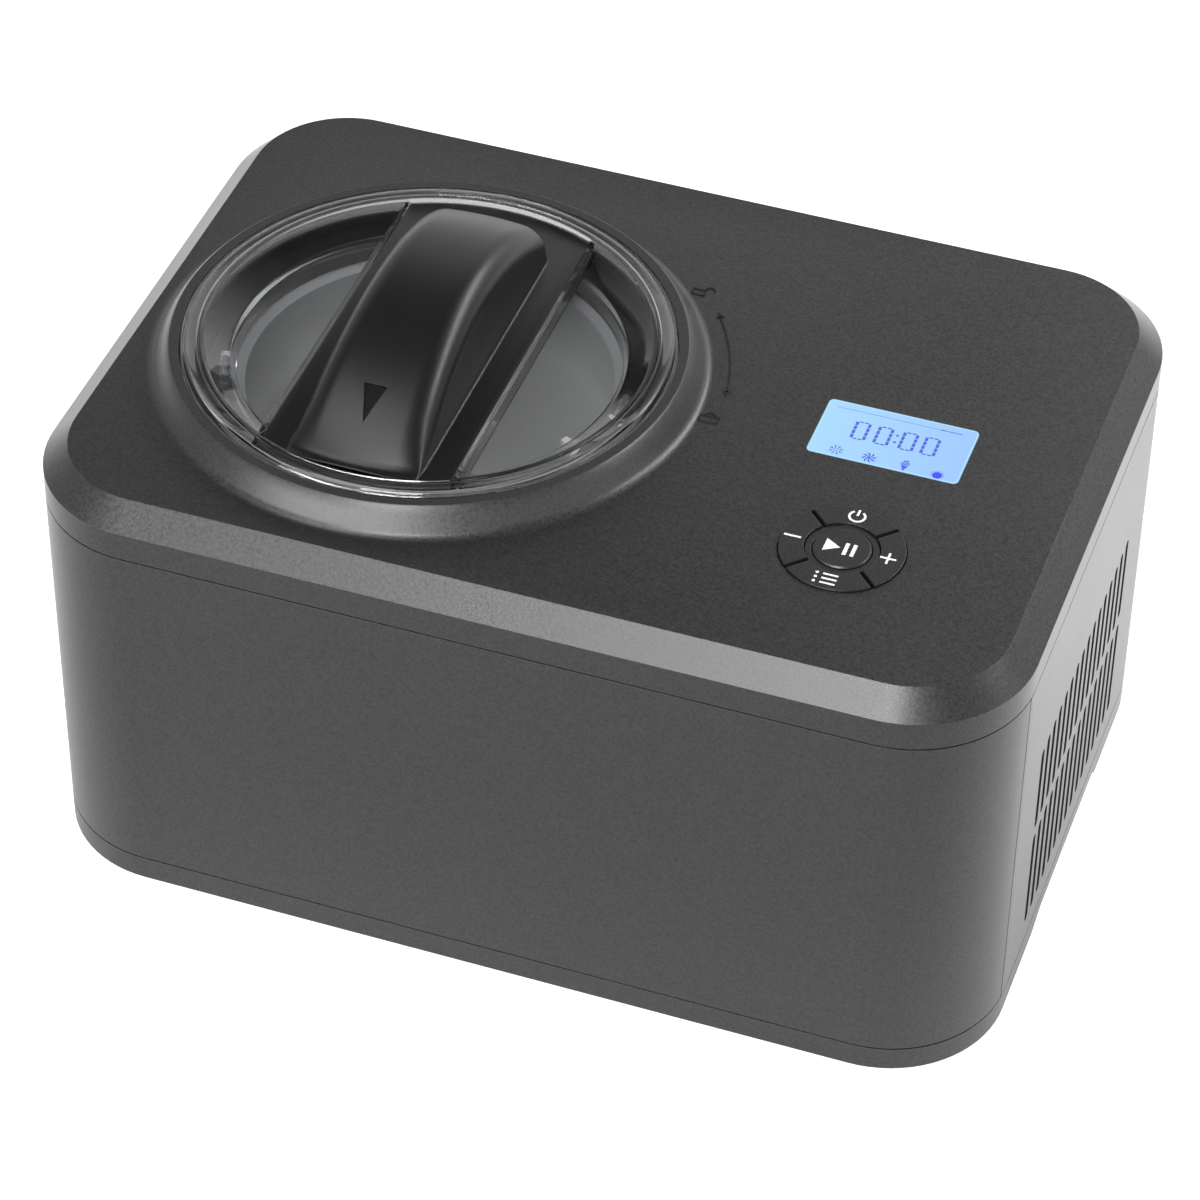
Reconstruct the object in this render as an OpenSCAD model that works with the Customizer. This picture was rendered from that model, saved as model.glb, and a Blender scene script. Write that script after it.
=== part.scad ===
// Compressor ice cream maker.
// A moulded housing with a raised collar and a clear twist-lock lid, a removable bowl that
// stands in a cooled drum, a paddle driven from below, and a fan-cooled condenser.
// Millimetres. +X is right, +Y is back, +Z is up. The origin is on the floor, under the middle.

/* [Housing] */
// Overall width, left to right
body_w = 380; // [376:1:400]
// Overall depth, front to back
body_d = 270; // [266:1:290]
// Height of the flat top above the bottom edge of the base
body_h = 187; // [187:1:195]
// Radius of the four vertical corners
corner_r = 47; // [40:1:50]
// Thickness of the moulded walls
wall = 2.5; // [2:0.1:3]
// Height of the rubber feet
foot_h = 4; // [3:0.5:6]
// Height of the base tray
base_h = 12; // [11:0.5:14]
// Height of the plain band of the top cover, under its bevel
band_h = 12; // [10:0.5:14]
// How far the bevel of the top cover leans in
bevel_in = 9.7; // [7:0.1:11]
// Height of the bevel of the top cover
bevel_drop = 9.2; // [7:0.1:11]
// Width of the seams between the housing pieces
seam = 0.6; // [0.4:0.1:1]
// Distance of the vertical seams from the middle, front and back
side_seam_y = 92.7; // [89:0.1:96]

/* [Vents] */
// Slots in one row
slot_columns = 16; // [10:1:16]
// Distance from slot to slot
slot_pitch = 8.3; // [7.5:0.1:8.3]
// Width of a slot
slot_w = 4.2; // [3:0.1:4.6]
// Height of the lower row of slots
lower_slot_h = 45; // [30:1:46]
// Height of the upper row of slots
upper_slot_h = 39; // [25:1:45]

/* [Collar and lid] */
// Place of the lid's centre, left to right
lid_x = -69.5; // [-72:0.5:-68]
// Place of the lid's centre, front to back
lid_y = -10.5; // [-14:0.5:0]
// Radius of the raised collar at the flat top
collar_base_r = 105; // [102:0.5:107]
// Radius of the collar at its upper edge
collar_top_r = 98.5; // [97:0.5:100]
// Height of the collar above the flat top
collar_h = 10.3; // [9:0.1:12]
// Outer radius of the clear lid
lid_r = 93.4; // [93:0.1:93.6]
// Height of the lid's crowned rim above the flat top
lid_rim_h = 12; // [11.5:0.1:13]
// Radius of the sunken window in the lid
window_r = 75; // [74.6:0.1:76]

/* [Lid handle] */
// Width of the black plate across the lid
plate_w = 74; // [66:1:78]
// Width of the grip along its upper edges
grip_top_w = 45; // [40:1:46]
// Width of the grip at its foot
grip_base_w = 51; // [46:1:56]
// Distance from the middle of the lid at which the grip runs out at its low end
grip_reach = 82; // [76:0.5:84]
// Distance from the middle of the lid to the grip's blunt end
grip_blunt = 66; // [60:0.5:68]
// Rise of the grip above the plate
grip_rise = 30; // [24:0.5:34]
// Rounding of the upper edges of the grip
grip_edge_r = 8; // [6:0.5:9]

/* [Controls] */
// Place of the display's centre, left to right
display_x = 109.2; // [105:0.1:112]
// Place of the display's centre, front to back
display_y = 2.6; // [0:0.1:6]
// Width of the display window
display_w = 58; // [50:1:60]
// Depth of the display window
display_d = 32; // [26:1:34]
// Place of the key ring's centre, left to right
keys_x = 109.4; // [105:0.1:112]
// Place of the key ring's centre, front to back
keys_y = -62.5; // [-66:0.1:-58]
// Outer radius of the key ring
keys_r = 23.2; // [21:0.1:24]
// Radius of the round key in the middle
start_key_r = 10.8; // [9:0.1:11]
// How far a key stands above the flat top
key_proud = 0.8; // [0.4:0.1:1]
// Travel of a key
key_travel = 0.8; // [0.5:0.1:0.8]

/* [Bowl and drive] */
// Outer radius of the bowl
bowl_r = 72; // [69:0.5:72]
// Wall of the bowl
bowl_wall = 2; // [1.5:0.1:2.5]
// Inside height of the bowl
bowl_depth = 110; // [104:1:112]
// Radius of the drive shaft
shaft_r = 5; // [4.5:0.1:5]
// Teeth of the output gear
output_teeth = 60; // [60:1:60]
// Teeth of the small wheel of the reduction gear
small_teeth = 14; // [14:1:14]
// Teeth of the large wheel of the reduction gear
large_teeth = 48; // [48:1:48]
// Teeth of the motor pinion
pinion_teeth = 12; // [12:1:12]
// Module of all the gears
gear_module = 1; // [1:0.1:1]

/* [Cooling] */
// Radius of the compressor shell
compressor_r = 40; // [36:1:40]
// Fins of the condenser
condenser_fins = 22; // [12:1:24]
// Blades of the fan
fan_blades = 7; // [5:1:9]

/* [Hidden] */
$fn = 96;

// Heights of the housing
base_z = foot_h;
base_top = base_z + base_h;
top_z = base_z + body_h;
bevel_z = top_z - bevel_drop;
cover_z = bevel_z - band_h;
floor_z = base_z + wall;
panel_z = base_top + seam / 2;
panel_h = cover_z - base_top - seam;
// Lips behind the seams
lip_gap = 0.3;
lip_t = 1.6;
lip_reach = 5;
// A little more than nothing, so that joined shapes share volume
bite = 0.2;

// Vent slots
slot_y0 = -(slot_columns - 1) * slot_pitch / 2 + 1;
lower_slot_z = base_z + 23.5;
upper_slot_z = base_z + 73.5;

// Finger recesses in the sides of the base
recess_h = 5;
recess_deep = 15;
recess_front = -52;
recess_back = 50;
recess_front_slope = 18;
recess_back_slope = 4;

// Collar, ledge, throat and bayonet
ledge_h = 4;
seat_r = lid_r + 0.9;
throat_r = 86.5;
throat_drop = 11;
tab_r = window_r + 2;
tab_t = 3;
tab_span = 66;
tab_first = 2;
lug_span = 40;
lug_reach = 4.5;
lug_t = 4.5;
skirt_drop = 8;
fillet_r = 5;

// Lid
lid_t = 2.5;
window_h = 3;
seal_t = 1.4;
rim_foot_h = ledge_h + seal_t + 0.5;
rim_inner_r = 84.2;
plate_end_r = 84.7;
plate_top_h = 9.5;
plate_t = 2.5;
pocket_gap = 0.3;
grip_bow_r = plate_end_r - 0.3;
grip_stations = 30;
grip_end_round = 4;
grip_end_steps = 6;
grip_wall = 3;
grip_sill = 0.3;
corner_steps = 5;
handle_screw_x = 30;
handle_screw_y = 58;

// Display and keys
lens_t = 1.5;
ledge_w = 2;
key_gap = 0.4;
key_ring_w = 2.4;
rib_w = 1;
key_t = 3.9;
stem_r = 2.5;
board_t = 1.6;
board_z = top_z - 11;
board_w = 84;
board_d = 130;
board_x = 108;
board_y = -32;
switch_h = 3.2;
switch_at = [[0, 18.5], [-18.5, 0], [18.5, 0], [0, -18.5], [0, 0]];

// Bowl, drum and jacket
bowl_top = top_z - 10;
bowl_flange_r = tab_r - 1;
bowl_floor = bowl_top - bowl_depth;
bowl_base = bowl_floor - bowl_wall;
bowl_fillet = 6;
tube_r = 10;
tube_top = bowl_floor + 58;
drum_r = bowl_r + 1;
drum_wall = 1.5;
drum_flange_r = 89;
drum_flange_z = bowl_top - bowl_wall - 0.3 - drum_wall;
drum_floor_z = bowl_base - 1 - drum_wall;
coil_pipe_r = 4;
coil_r = drum_r + drum_wall + coil_pipe_r + bite;
coil_turns = 10;
coil_pitch = 9;
coil_z0 = drum_floor_z + 12;
jacket_r = 108;
jacket_in_r = coil_r + coil_pipe_r + 0.8;
jacket_floor = 12;
jacket_z = drum_floor_z - jacket_floor;

// Drive, from the output shaft outwards along +X
idler_x = gear_module * (output_teeth + small_teeth) / 2;
motor_x = idler_x + gear_module * (large_teeth + pinion_teeth) / 2;
gearbox_w = 115;
gearbox_d = 74;
gearbox_r = 20;
gearbox_x = (motor_x + 10 - 34) / 2;
gearbox_z = 32;
gearbox_h = 15;
gearbox_lid_t = 3;
low_gear_z = gearbox_z + 3;
low_gear_h = 4;
high_gear_z = low_gear_z + low_gear_h + 1;
high_gear_h = 5;
run_gap = 0.05;
bush_r = 8;
pin_r = 2.5;
motor_r = 18.5;
motor_z = 9.5;
shaft_bottom = gearbox_z + 1.5;
square_end = 7;
shaft_top = tube_top + 12;
gearbox_post_x = 50;
gearbox_post_y = 28;

// Paddle
hub_r = 15;
hub_gap = 0.7;
paddle_reach = bowl_r - bowl_wall - 2;
paddle_foot = bowl_floor + 1.5;
paddle_top = bowl_floor + 92;

// Cooling parts on the right
compressor_x = 80;
compressor_y = 48;
compressor_z = 20;
compressor_h = 96;
grommet_x = 40;
grommet_y = 24;
condenser_x = 168;
condenser_y = 2;
condenser_w = 22;
condenser_d = 128;
condenser_z = 22;
condenser_h = 100;
tube_rows = 4;
return_bend_r = 3.9;
condenser_end = condenser_d / 2 + 3.8 + condenser_w / 4 + return_bend_r;
fan_x = 142;
fan_t = 26;
fan_size = 92;
fan_z = 71;
fan_hole_r = 44;
fan_hub_r = 17;
drier_x = 150;
drier_y = -98;
drier_z = 44;
drier_h = 76;
drier_r = 9;
suction_z = coil_z0 + 9 * coil_pitch;
capillary_z = coil_z0 + 8 * coil_pitch;
pipe_side = 12;

// Power board and cord gland
power_x = 88;
power_y = -92;
power_z = 14;
gland_x = 120;
gland_z = 44;
gland_r = 9;
cord_r = 3.6;

housing_colour = [0.27, 0.27, 0.28];
black = [0.07, 0.07, 0.08];
metal = [0.72, 0.73, 0.74];
copper = [0.72, 0.42, 0.26];

// ---------- shared shapes ----------

// Rounded rectangle, centred
module rounded_outline(w, d, r) {
    square([w - 2 * r, d], center = true);
    square([w, d - 2 * r], center = true);
    for (x = [-1, 1], y = [-1, 1])
        translate([x * (w / 2 - r), y * (d / 2 - r)])
            circle(r);
}

// Outline of the housing, drawn in by a distance
module housing_outline(inset) {
    rounded_outline(body_w - 2 * inset, body_d - 2 * inset, corner_r - inset);
}

// Closed band along the housing's outline
module housing_band(inset, thickness) {
    difference() {
        housing_outline(inset);
        housing_outline(inset + thickness);
    }
}

module leaning_section(span, inset, h) {
    polygon([[-span / 2, 0], [span / 2, 0], [span / 2 - inset, h], [-span / 2 + inset, h]]);
}

// Rounded block whose sides lean in as they rise
module leaning_block(w, d, r, inset, h) {
    rotate([90, 0, 90])
        linear_extrude(w - 2 * r, center = true)
            leaning_section(d, inset, h);
    rotate([90, 0, 0])
        linear_extrude(d - 2 * r, center = true)
            leaning_section(w, inset, h);
    for (x = [-1, 1], y = [-1, 1])
        translate([x * (w / 2 - r), y * (d / 2 - r), 0])
            cylinder(h = h, r1 = r, r2 = r - inset);
}

// Points of an arc, for profiles
function arc(cx, cy, r, from, to, steps) = [
    for (i = [0 : steps])
        let (a = from + (to - from) * i / steps)
        [cx + r * cos(a), cy + r * sin(a)]
];

// Upright ring
module ring(r_out, r_in, z, h) {
    translate([0, 0, z])
        difference() {
            cylinder(h = h, r = r_out);
            translate([0, 0, -1])
                cylinder(h = h + 2, r = r_in);
        }
}

module at_lid() {
    translate([lid_x, lid_y, 0])
        children();
}

// Pan-head screw, head down, its head's seat at z = 0
module screw(head_r, head_h, shank_r, shank_h) {
    translate([0, 0, -head_h])
        cylinder(h = head_h, r = head_r);
    translate([0, 0, -bite])
        cylinder(h = shank_h + bite, r = shank_r);
}

function unit(v) = v / norm(v);
// Direction of a path as it leaves one of its points
function heading(path, i) = unit(path[i + 1] - path[i]);
// How much of each leg a round bend takes up at one of a path's points
function bend_trim(path, i, bend_r) = bend_r * tan(acos(heading(path, i - 1) * heading(path, i)) / 2);

// Quarter or part of a torus that leads from direction u to direction v past a corner
module pipe_bend(corner, u, v, bend_r, r) {
    turn = acos(u * v);
    inward = unit(v - (u * v) * u);
    normal = cross(u, inward);
    upright = abs(inward[2]) > 0.999;
    tilt = upright ? atan2(-normal[1], u[1]) : atan2(u[2], normal[2]);
    swing = upright ? 0 : atan2(-inward[1], -inward[0]);
    translate(corner - bend_r * tan(turn / 2) * u + bend_r * inward)
        rotate([tilt, asin(inward[2]), swing])
            rotate_extrude(angle = turn)
                translate([bend_r, 0])
                    circle(r, $fn = 32);
}

// Pipe along a path, bent in a round arc at each corner
module pipe_run(path, r) {
    bend_r = 2.5 * r;
    last = len(path) - 1;
    for (i = [0 : last - 1]) {
        way = heading(path, i);
        from = i == 0 ? 0 : bend_trim(path, i, bend_r);
        to = norm(path[i + 1] - path[i]) - (i == last - 1 ? 0 : bend_trim(path, i + 1, bend_r));
        translate(path[i] + from * way)
            rotate([0, acos(way[2]), atan2(way[1], way[0])])
                cylinder(h = to - from, r = r);
    }
    for (i = [1 : last - 1])
        pipe_bend(path[i], heading(path, i - 1), heading(path, i), bend_r, r);
}

// ---------- housing ----------

module collar() {
    slope_x = collar_base_r - collar_top_r;
    lean = atan2(collar_h, slope_x);
    fillet_run = fillet_r * tan(lean / 2);
    fillet_x = collar_base_r + fillet_run;
    profile = concat(
        [[throat_r, top_z - throat_drop], [throat_r, top_z + ledge_h],
         [seat_r, top_z + ledge_h], [seat_r, top_z + collar_h],
         [collar_top_r - 0.6, top_z + collar_h], [collar_top_r + 0.2, top_z + collar_h - 0.6]],
        arc(fillet_x, top_z + fillet_r, fillet_r, 270 - lean, 270, 5),
        [[fillet_x, top_z - wall], [throat_r + wall, top_z - wall],
         [throat_r + wall, top_z - throat_drop]]
    );
    rotate_extrude()
        polygon(profile);
}

module bayonet_tabs() {
    for (i = [0 : 2])
        rotate(tab_first + i * 120)
            rotate_extrude(angle = tab_span)
                translate([tab_r, top_z - tab_t])
                    square([throat_r - tab_r + bite, tab_t]);
}

module cover_solid() {
    translate([0, 0, cover_z + seam / 2])
        linear_extrude(band_h - seam / 2)
            housing_outline(0);
    translate([0, 0, bevel_z])
        leaning_block(body_w, body_d, corner_r, bevel_in, bevel_drop);
}

module cover_hollow() {
    rise = bevel_drop - wall;
    translate([0, 0, cover_z - 1])
        linear_extrude(band_h + 1)
            housing_outline(wall);
    translate([0, 0, bevel_z])
        leaning_block(body_w - 2 * wall, body_d - 2 * wall, corner_r - wall,
                      bevel_in * rise / bevel_drop, rise);
}

module cover_lip() {
    translate([0, 0, cover_z - lip_reach])
        linear_extrude(lip_reach + 4)
            housing_band(wall + lip_gap, lip_t);
    translate([0, 0, cover_z + 1])
        linear_extrude(3)
            housing_band(wall - bite, lip_gap + lip_t + bite);
}

module board_posts() {
    for (x = [-1, 1], y = [-1, 1])
        translate([board_x + x * (board_w / 2 - 4), board_y + y * (board_d / 2 - 4), board_z + board_t])
            cylinder(h = top_z - wall - board_z - board_t + bite, r = 3.5);
}

module top_cover() {
    color(housing_colour) {
        difference() {
            cover_solid();
            cover_hollow();
            at_lid()
                translate([0, 0, cover_z])
                    cylinder(h = bevel_drop + band_h + 1, r = throat_r + 1);
            translate([display_x, display_y, top_z - wall - 1])
                linear_extrude(wall + 2)
                    rounded_outline(display_w + 0.4, display_d + 0.4, 2.2);
            translate([keys_x, keys_y, top_z - wall - 1])
                cylinder(h = wall + 2, r = keys_r + key_gap);
        }
        cover_lip();
        board_posts();
        at_lid() {
            collar();
            bayonet_tabs();
        }
        translate([display_x, display_y, top_z - wall - 0.6])
            linear_extrude(wall + 0.6 - lens_t)
                difference() {
                    rounded_outline(display_w + 4, display_d + 4, 4);
                    rounded_outline(display_w - 2 * ledge_w, display_d - 2 * ledge_w, 1);
                }
    }
}

// Front or rear wall, which wraps both corners as far as the side seams
module end_wall() {
    translate([0, 0, panel_z])
        linear_extrude(panel_h)
            intersection() {
                housing_band(0, wall);
                translate([-body_w, -body_d])
                    square([2 * body_w, body_d - side_seam_y - seam / 2]);
            }
}

module front_shell() {
    color(housing_colour)
        end_wall();
}

module rear_panel() {
    color(housing_colour)
        difference() {
            rotate(180)
                end_wall();
            translate([gland_x, body_d / 2 + 1, gland_z])
                rotate([90, 0, 0])
                    cylinder(h = wall + 2, r = gland_r + 0.1);
        }
}

module slot_outline(h) {
    translate([-slot_w / 2, slot_w / 2])
        square([slot_w, h - slot_w]);
    for (y = [slot_w / 2, h - slot_w / 2])
        translate([0, y])
            circle(slot_w / 2);
}

module vent_slots() {
    translate([body_w / 2 - 3 * wall, 0, 0])
        rotate([90, 0, 90])
            linear_extrude(4 * wall)
                for (i = [0 : slot_columns - 1]) {
                    translate([slot_y0 + i * slot_pitch, lower_slot_z])
                        slot_outline(lower_slot_h);
                    translate([slot_y0 + i * slot_pitch, upper_slot_z])
                        slot_outline(upper_slot_h);
                }
}

// Lips that stand behind the front and rear walls, beside the vertical seams
module side_lips() {
    reach = 2 * lip_reach;
    for (y = [-1, 1]) {
        translate([0, 0, panel_z + lip_reach + 2])
            linear_extrude(panel_h - 2 * lip_reach - 4)
                intersection() {
                    housing_band(wall + lip_gap, lip_t);
                    translate([body_w / 2 - corner_r / 2, y * side_seam_y - reach / 2])
                        square([corner_r, reach]);
                }
        translate([0, 0, panel_z + lip_reach + 2])
            linear_extrude(panel_h - 2 * lip_reach - 4)
                intersection() {
                    housing_band(wall - bite, lip_gap + lip_t + bite);
                    translate([body_w / 2 - corner_r / 2, y * (side_seam_y - reach / 2 + 1) - 1])
                        square([corner_r, 2]);
                }
    }
}

module side_wall() {
    difference() {
        union() {
            translate([0, 0, panel_z])
                linear_extrude(panel_h)
                    intersection() {
                        housing_band(0, wall);
                        translate([body_w / 2 - corner_r / 2, -side_seam_y + seam / 2])
                            square([corner_r, 2 * side_seam_y - seam]);
                    }
            side_lips();
        }
        vent_slots();
    }
}

module right_panel() {
    color(housing_colour)
        side_wall();
}

module left_panel() {
    color(housing_colour)
        mirror([1, 0, 0])
            side_wall();
}

module recess_outline() {
    polygon([[recess_front, -1], [recess_front, 0], [recess_front + recess_front_slope, recess_h],
             [recess_back - recess_back_slope, recess_h], [recess_back, 0], [recess_back, -1]]);
}

module tray_shell() {
    foot_bevel = 1.5;
    difference() {
        union() {
            translate([0, 0, base_z + foot_bevel])
                linear_extrude(base_h - foot_bevel - seam / 2)
                    housing_outline(0);
            translate([0, 0, base_z + foot_bevel])
                mirror([0, 0, 1])
                    leaning_block(body_w, body_d, corner_r, foot_bevel, foot_bevel);
        }
        translate([0, 0, floor_z])
            linear_extrude(base_h)
                housing_outline(wall);
    }
    translate([0, 0, base_top - 4])
        linear_extrude(lip_reach + 4)
            housing_band(wall + lip_gap, lip_t);
    translate([0, 0, base_top - 4])
        linear_extrude(3)
            housing_band(wall - bite, lip_gap + lip_t + bite);
}

module post(x, y, r, top) {
    translate([x, y, floor_z - bite])
        cylinder(h = top - floor_z + bite, r = r);
}

module tray_posts() {
    at_lid() {
        for (x = [-1, 1], y = [-1, 1])
            post(gearbox_x + x * gearbox_post_x, y * gearbox_post_y, 5, gearbox_z);
        for (a = [90, 210, 330])
            post(98 * cos(a), 98 * sin(a), 6, jacket_z);
    }
    for (x = [-1, 1], y = [-1, 1]) {
        post(compressor_x + x * grommet_x, compressor_y + y * grommet_y, 9, 10);
        post(power_x + x * 33, power_y + y * 17, 3, power_z);
        post(fan_x, condenser_y + y * 38, 5, fan_z - fan_size / 2);
    }
    post(drier_x, drier_y, 6, drier_z);
}

module base_tray() {
    roof = recess_h + wall;
    color(housing_colour)
        difference() {
            union() {
                tray_shell();
                tray_posts();
                for (x = [-1, 1])
                    translate([x * (body_w / 2 - wall - recess_deep / 2), (recess_front + recess_back) / 2,
                               base_z + roof / 2])
                        cube([recess_deep + bite, recess_back - recess_front + 2 * wall, roof], center = true);
            }
            for (x = [-1, 1])
                translate([x * (body_w / 2 - recess_deep / 2 + 1), 0, base_z])
                    rotate([90, 0, 90])
                        linear_extrude(recess_deep, center = true)
                            recess_outline();
            for (p = base_screw_at)
                translate([p[0], p[1], base_z - 1])
                    cylinder(h = 2.2, r = 4.2);
            for (p = base_screw_at)
                translate([p[0], p[1], base_z])
                    cylinder(h = 4, r = 1.9);
        }
}

// Four corner feet and one in the front edge
foot_at = [[-150, -100], [150, -100], [-150, 100], [150, 100], [-40, -121]];

module rubber_feet() {
    color(black)
        for (p = foot_at)
            translate([p[0], p[1], 0])
                rotate_extrude()
                    polygon([[0, 0], [9, 0], [10, 1], [10, foot_h], [0, foot_h]]);
}

base_screw_at = [[-165, -82], [165, -82], [-165, 82], [165, 84], [-20, 112], [60, -118]];

module base_screws() {
    color(metal)
        for (p = base_screw_at)
            translate([p[0], p[1], base_z + 1.2])
                screw(3.8, 0.9, 1.7, 8);
}

// ---------- controls ----------

module lcd_lens() {
    color([0.62, 0.76, 0.95])
        translate([display_x, display_y, top_z - lens_t])
            linear_extrude(lens_t)
                rounded_outline(display_w, display_d, 2);
}

module lcd_module() {
    module_top = top_z - wall - 0.8;
    color([0.85, 0.87, 0.85]) {
        translate([display_x, display_y, module_top - 2])
            cube([display_w - 2, display_d - 2, 4], center = true);
        for (y = [-1, 1])
            translate([display_x, display_y + y * (display_d / 2 - 3), (module_top - 4 + board_z + board_t) / 2])
                cube([display_w - 12, 1.2, module_top - 4 - board_z - board_t], center = true);
    }
}

module control_board() {
    color([0.1, 0.35, 0.2])
        translate([board_x, board_y, board_z + board_t / 2])
            cube([board_w, board_d, board_t], center = true);
    color([0.9, 0.9, 0.86])
        translate([board_x - 20, board_y + 12, board_z - 3])
            cube([22, 8, 6 + bite], center = true);
    color([0.12, 0.12, 0.12])
        translate([board_x + 12, board_y + 12, board_z - 1])
            cube([12, 12, 2 + bite], center = true);
}

module key_switches() {
    color([0.15, 0.15, 0.16])
        for (p = switch_at)
            translate([keys_x + p[0], keys_y + p[1], board_z + board_t]) {
                translate([0, 0, switch_h / 2])
                    cube([6, 6, switch_h], center = true);
                cylinder(h = switch_h + 0.6, r = 1.6);
            }
}

module at_keys() {
    translate([keys_x, keys_y, 0])
        children();
}

module key_frame() {
    plate_z = top_z - wall - 2.5;
    ring_r = start_key_r + key_gap;
    color(black)
        at_keys() {
            ring(keys_r + 5, keys_r + 0.9, plate_z, 2.5);
            ring(ring_r + key_ring_w, ring_r, plate_z, top_z - plate_z);
            for (a = [45 : 90 : 315])
                rotate(a) {
                    translate([ring_r + 1, -rib_w / 2, plate_z])
                        cube([keys_r + 2 - ring_r - 1, rib_w, 2.5]);
                    translate([ring_r + 1, -rib_w / 2, plate_z])
                        cube([keys_r - ring_r - 1, rib_w, top_z - 1 - plate_z]);
                }
        }
}

// One of the four keys of the ring, centred on +Y before it is turned
module ring_key(turn) {
    inner_r = start_key_r + 2 * key_gap + key_ring_w;
    side = (rib_w / 2 + key_gap) * sqrt(2);
    color(black)
        at_keys()
            rotate(turn) {
                translate([0, 0, top_z + key_proud - key_t])
                    linear_extrude(key_t)
                        intersection() {
                            difference() {
                                circle(keys_r);
                                circle(inner_r);
                            }
                            polygon([[0, side], [2 * keys_r, side + 2 * keys_r],
                                     [-2 * keys_r, side + 2 * keys_r]]);
                        }
                key_stem(18.5);
            }
}

module key_stem(y) {
    stem_z = board_z + board_t + switch_h + 0.8 + key_travel;
    translate([0, y, stem_z])
        cylinder(h = top_z + key_proud - key_t + bite - stem_z, r = stem_r);
}

module key_power() { ring_key(0); }
module key_minus() { ring_key(90); }
module key_menu() { ring_key(180); }
module key_plus() { ring_key(270); }

module key_start() {
    rounding = 0.5;
    color(black)
        at_keys() {
            translate([0, 0, top_z + key_proud - key_t])
                cylinder(h = key_t - rounding, r = start_key_r);
            translate([0, 0, top_z + key_proud - rounding])
                cylinder(h = rounding, r1 = start_key_r, r2 = start_key_r - rounding);
            key_stem(0);
        }
}

// ---------- lid ----------

module lid_seal() {
    color([0.8, 0.8, 0.78])
        at_lid()
            ring(seat_r - 0.4, throat_r + 1.5, top_z + ledge_h + 0.2, seal_t);
}

module lid_revolve() {
    z = top_z;
    crown_r = lid_r - 4;
    profile = concat(
        [[0, z + window_h - lid_t], [window_r - 1.5, z + window_h - lid_t],
         [window_r - 1.5, z - skirt_drop], [window_r + 1, z - skirt_drop],
         [window_r + 1, z + window_h - 2.2], [rim_inner_r + 2, z + lid_rim_h - 2.8],
         [lid_r - lid_t, z + lid_rim_h - 2.6], [lid_r - lid_t, z + rim_foot_h],
         [lid_r, z + rim_foot_h], [lid_r, z + lid_rim_h - 1.8]],
        arc(crown_r, z + lid_rim_h - 4, 4, 25, 90, 4),
        [[rim_inner_r + 3.4, z + lid_rim_h - 0.05], [rim_inner_r + 3, z + lid_rim_h - 0.6],
         [rim_inner_r + 2.4, z + lid_rim_h - 0.6], [rim_inner_r + 2, z + lid_rim_h - 0.15],
         [rim_inner_r + 1.2, z + lid_rim_h - 0.3], [rim_inner_r, z + lid_rim_h - 1.2],
         [window_r, z + window_h], [0, z + window_h]]
    );
    rotate_extrude()
        polygon(profile);
}

module lid_lugs() {
    for (i = [0 : 2])
        rotate(tab_first + tab_span + (120 - tab_span - lug_span) / 2 + i * 120)
            rotate_extrude(angle = lug_span)
                translate([window_r + 1 - bite, top_z - skirt_drop])
                    square([lug_reach + bite, lug_t]);
}

// Strip across the lid with round ends
module strip_outline(half_w, end_r) {
    intersection() {
        circle(end_r);
        square([2 * half_w, 3 * end_r], center = true);
    }
}

module lid_window() {
    color([0.85, 0.88, 0.9, 0.35])
        at_lid()
            difference() {
                union() {
                    lid_revolve();
                    lid_lugs();
                    translate([0, 0, top_z + window_h - lid_t])
                        linear_extrude(plate_top_h + lid_t - window_h)
                            strip_outline(plate_w / 2 + pocket_gap + 2, throat_r - 0.4);
                }
                translate([0, 0, top_z + window_h])
                    linear_extrude(lid_rim_h)
                        strip_outline(plate_w / 2 + pocket_gap, plate_end_r + pocket_gap);
                for (x = [-1, 1], y = [-1, 1])
                    translate([x * handle_screw_x, y * handle_screw_y, top_z - 1])
                        cylinder(h = window_h + 2, r = 1.8);
            }
}

// Rise of the grip at a place along it: a circular arch
function arch_r() = (pow(grip_reach, 2) + pow(grip_rise, 2)) / (2 * grip_rise);
function arch(y) = sqrt(pow(arch_r(), 2) - y * y) - arch_r() + grip_rise;

// Inset of a section near the blunt end, which rounds that end off
function end_inset(y) =
    let (past = max(0, y - grip_blunt + grip_end_round))
    grip_end_round - sqrt(max(0, pow(grip_end_round, 2) - pow(past, 2)));

// Places of the grip's sections: even ones along the arch, then closer ones round the blunt end
function grip_places() =
    let (straight = grip_bow_r + grip_blunt - grip_end_round)
    concat(
        [for (i = [0 : grip_stations]) -grip_bow_r + straight * i / grip_stations],
        [for (i = [1 : grip_end_steps])
            grip_blunt - grip_end_round * (1 - sin(90 * i / grip_end_steps))]
    );

// The sections bow along the lid, so that the low end follows the round end of the plate
function bowed(x, y) = y * sqrt(pow(grip_bow_r, 2) - x * x) / grip_bow_r;

// Half of a section of the grip, from its foot to its middle: a leaning side and a round edge
function half_section(y) =
    let (
        inset = end_inset(y),
        rise = max(arch(y), 4 * grip_sill) - inset,
        edge_w = grip_edge_r,
        edge_h = min(grip_edge_r, rise * 0.7),
        lean = (grip_base_w - grip_top_w) / 2 / (grip_rise - grip_edge_r),
        foot = grip_base_w / 2 - inset,
        top_half = foot - lean * (rise - edge_h)
    )
    concat(
        [[foot, -1], [foot, grip_sill]],
        [for (i = [0 : corner_steps])
            let (a = 90 * i / corner_steps)
            [top_half - edge_w + edge_w * cos(a), rise - edge_h + edge_h * sin(a)]]
    );

function full_section(y) =
    let (right = half_section(y), n = len(right))
    concat(right, [for (i = [n - 1 : -1 : 0]) [-right[i][0], right[i][1]]]);

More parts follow.
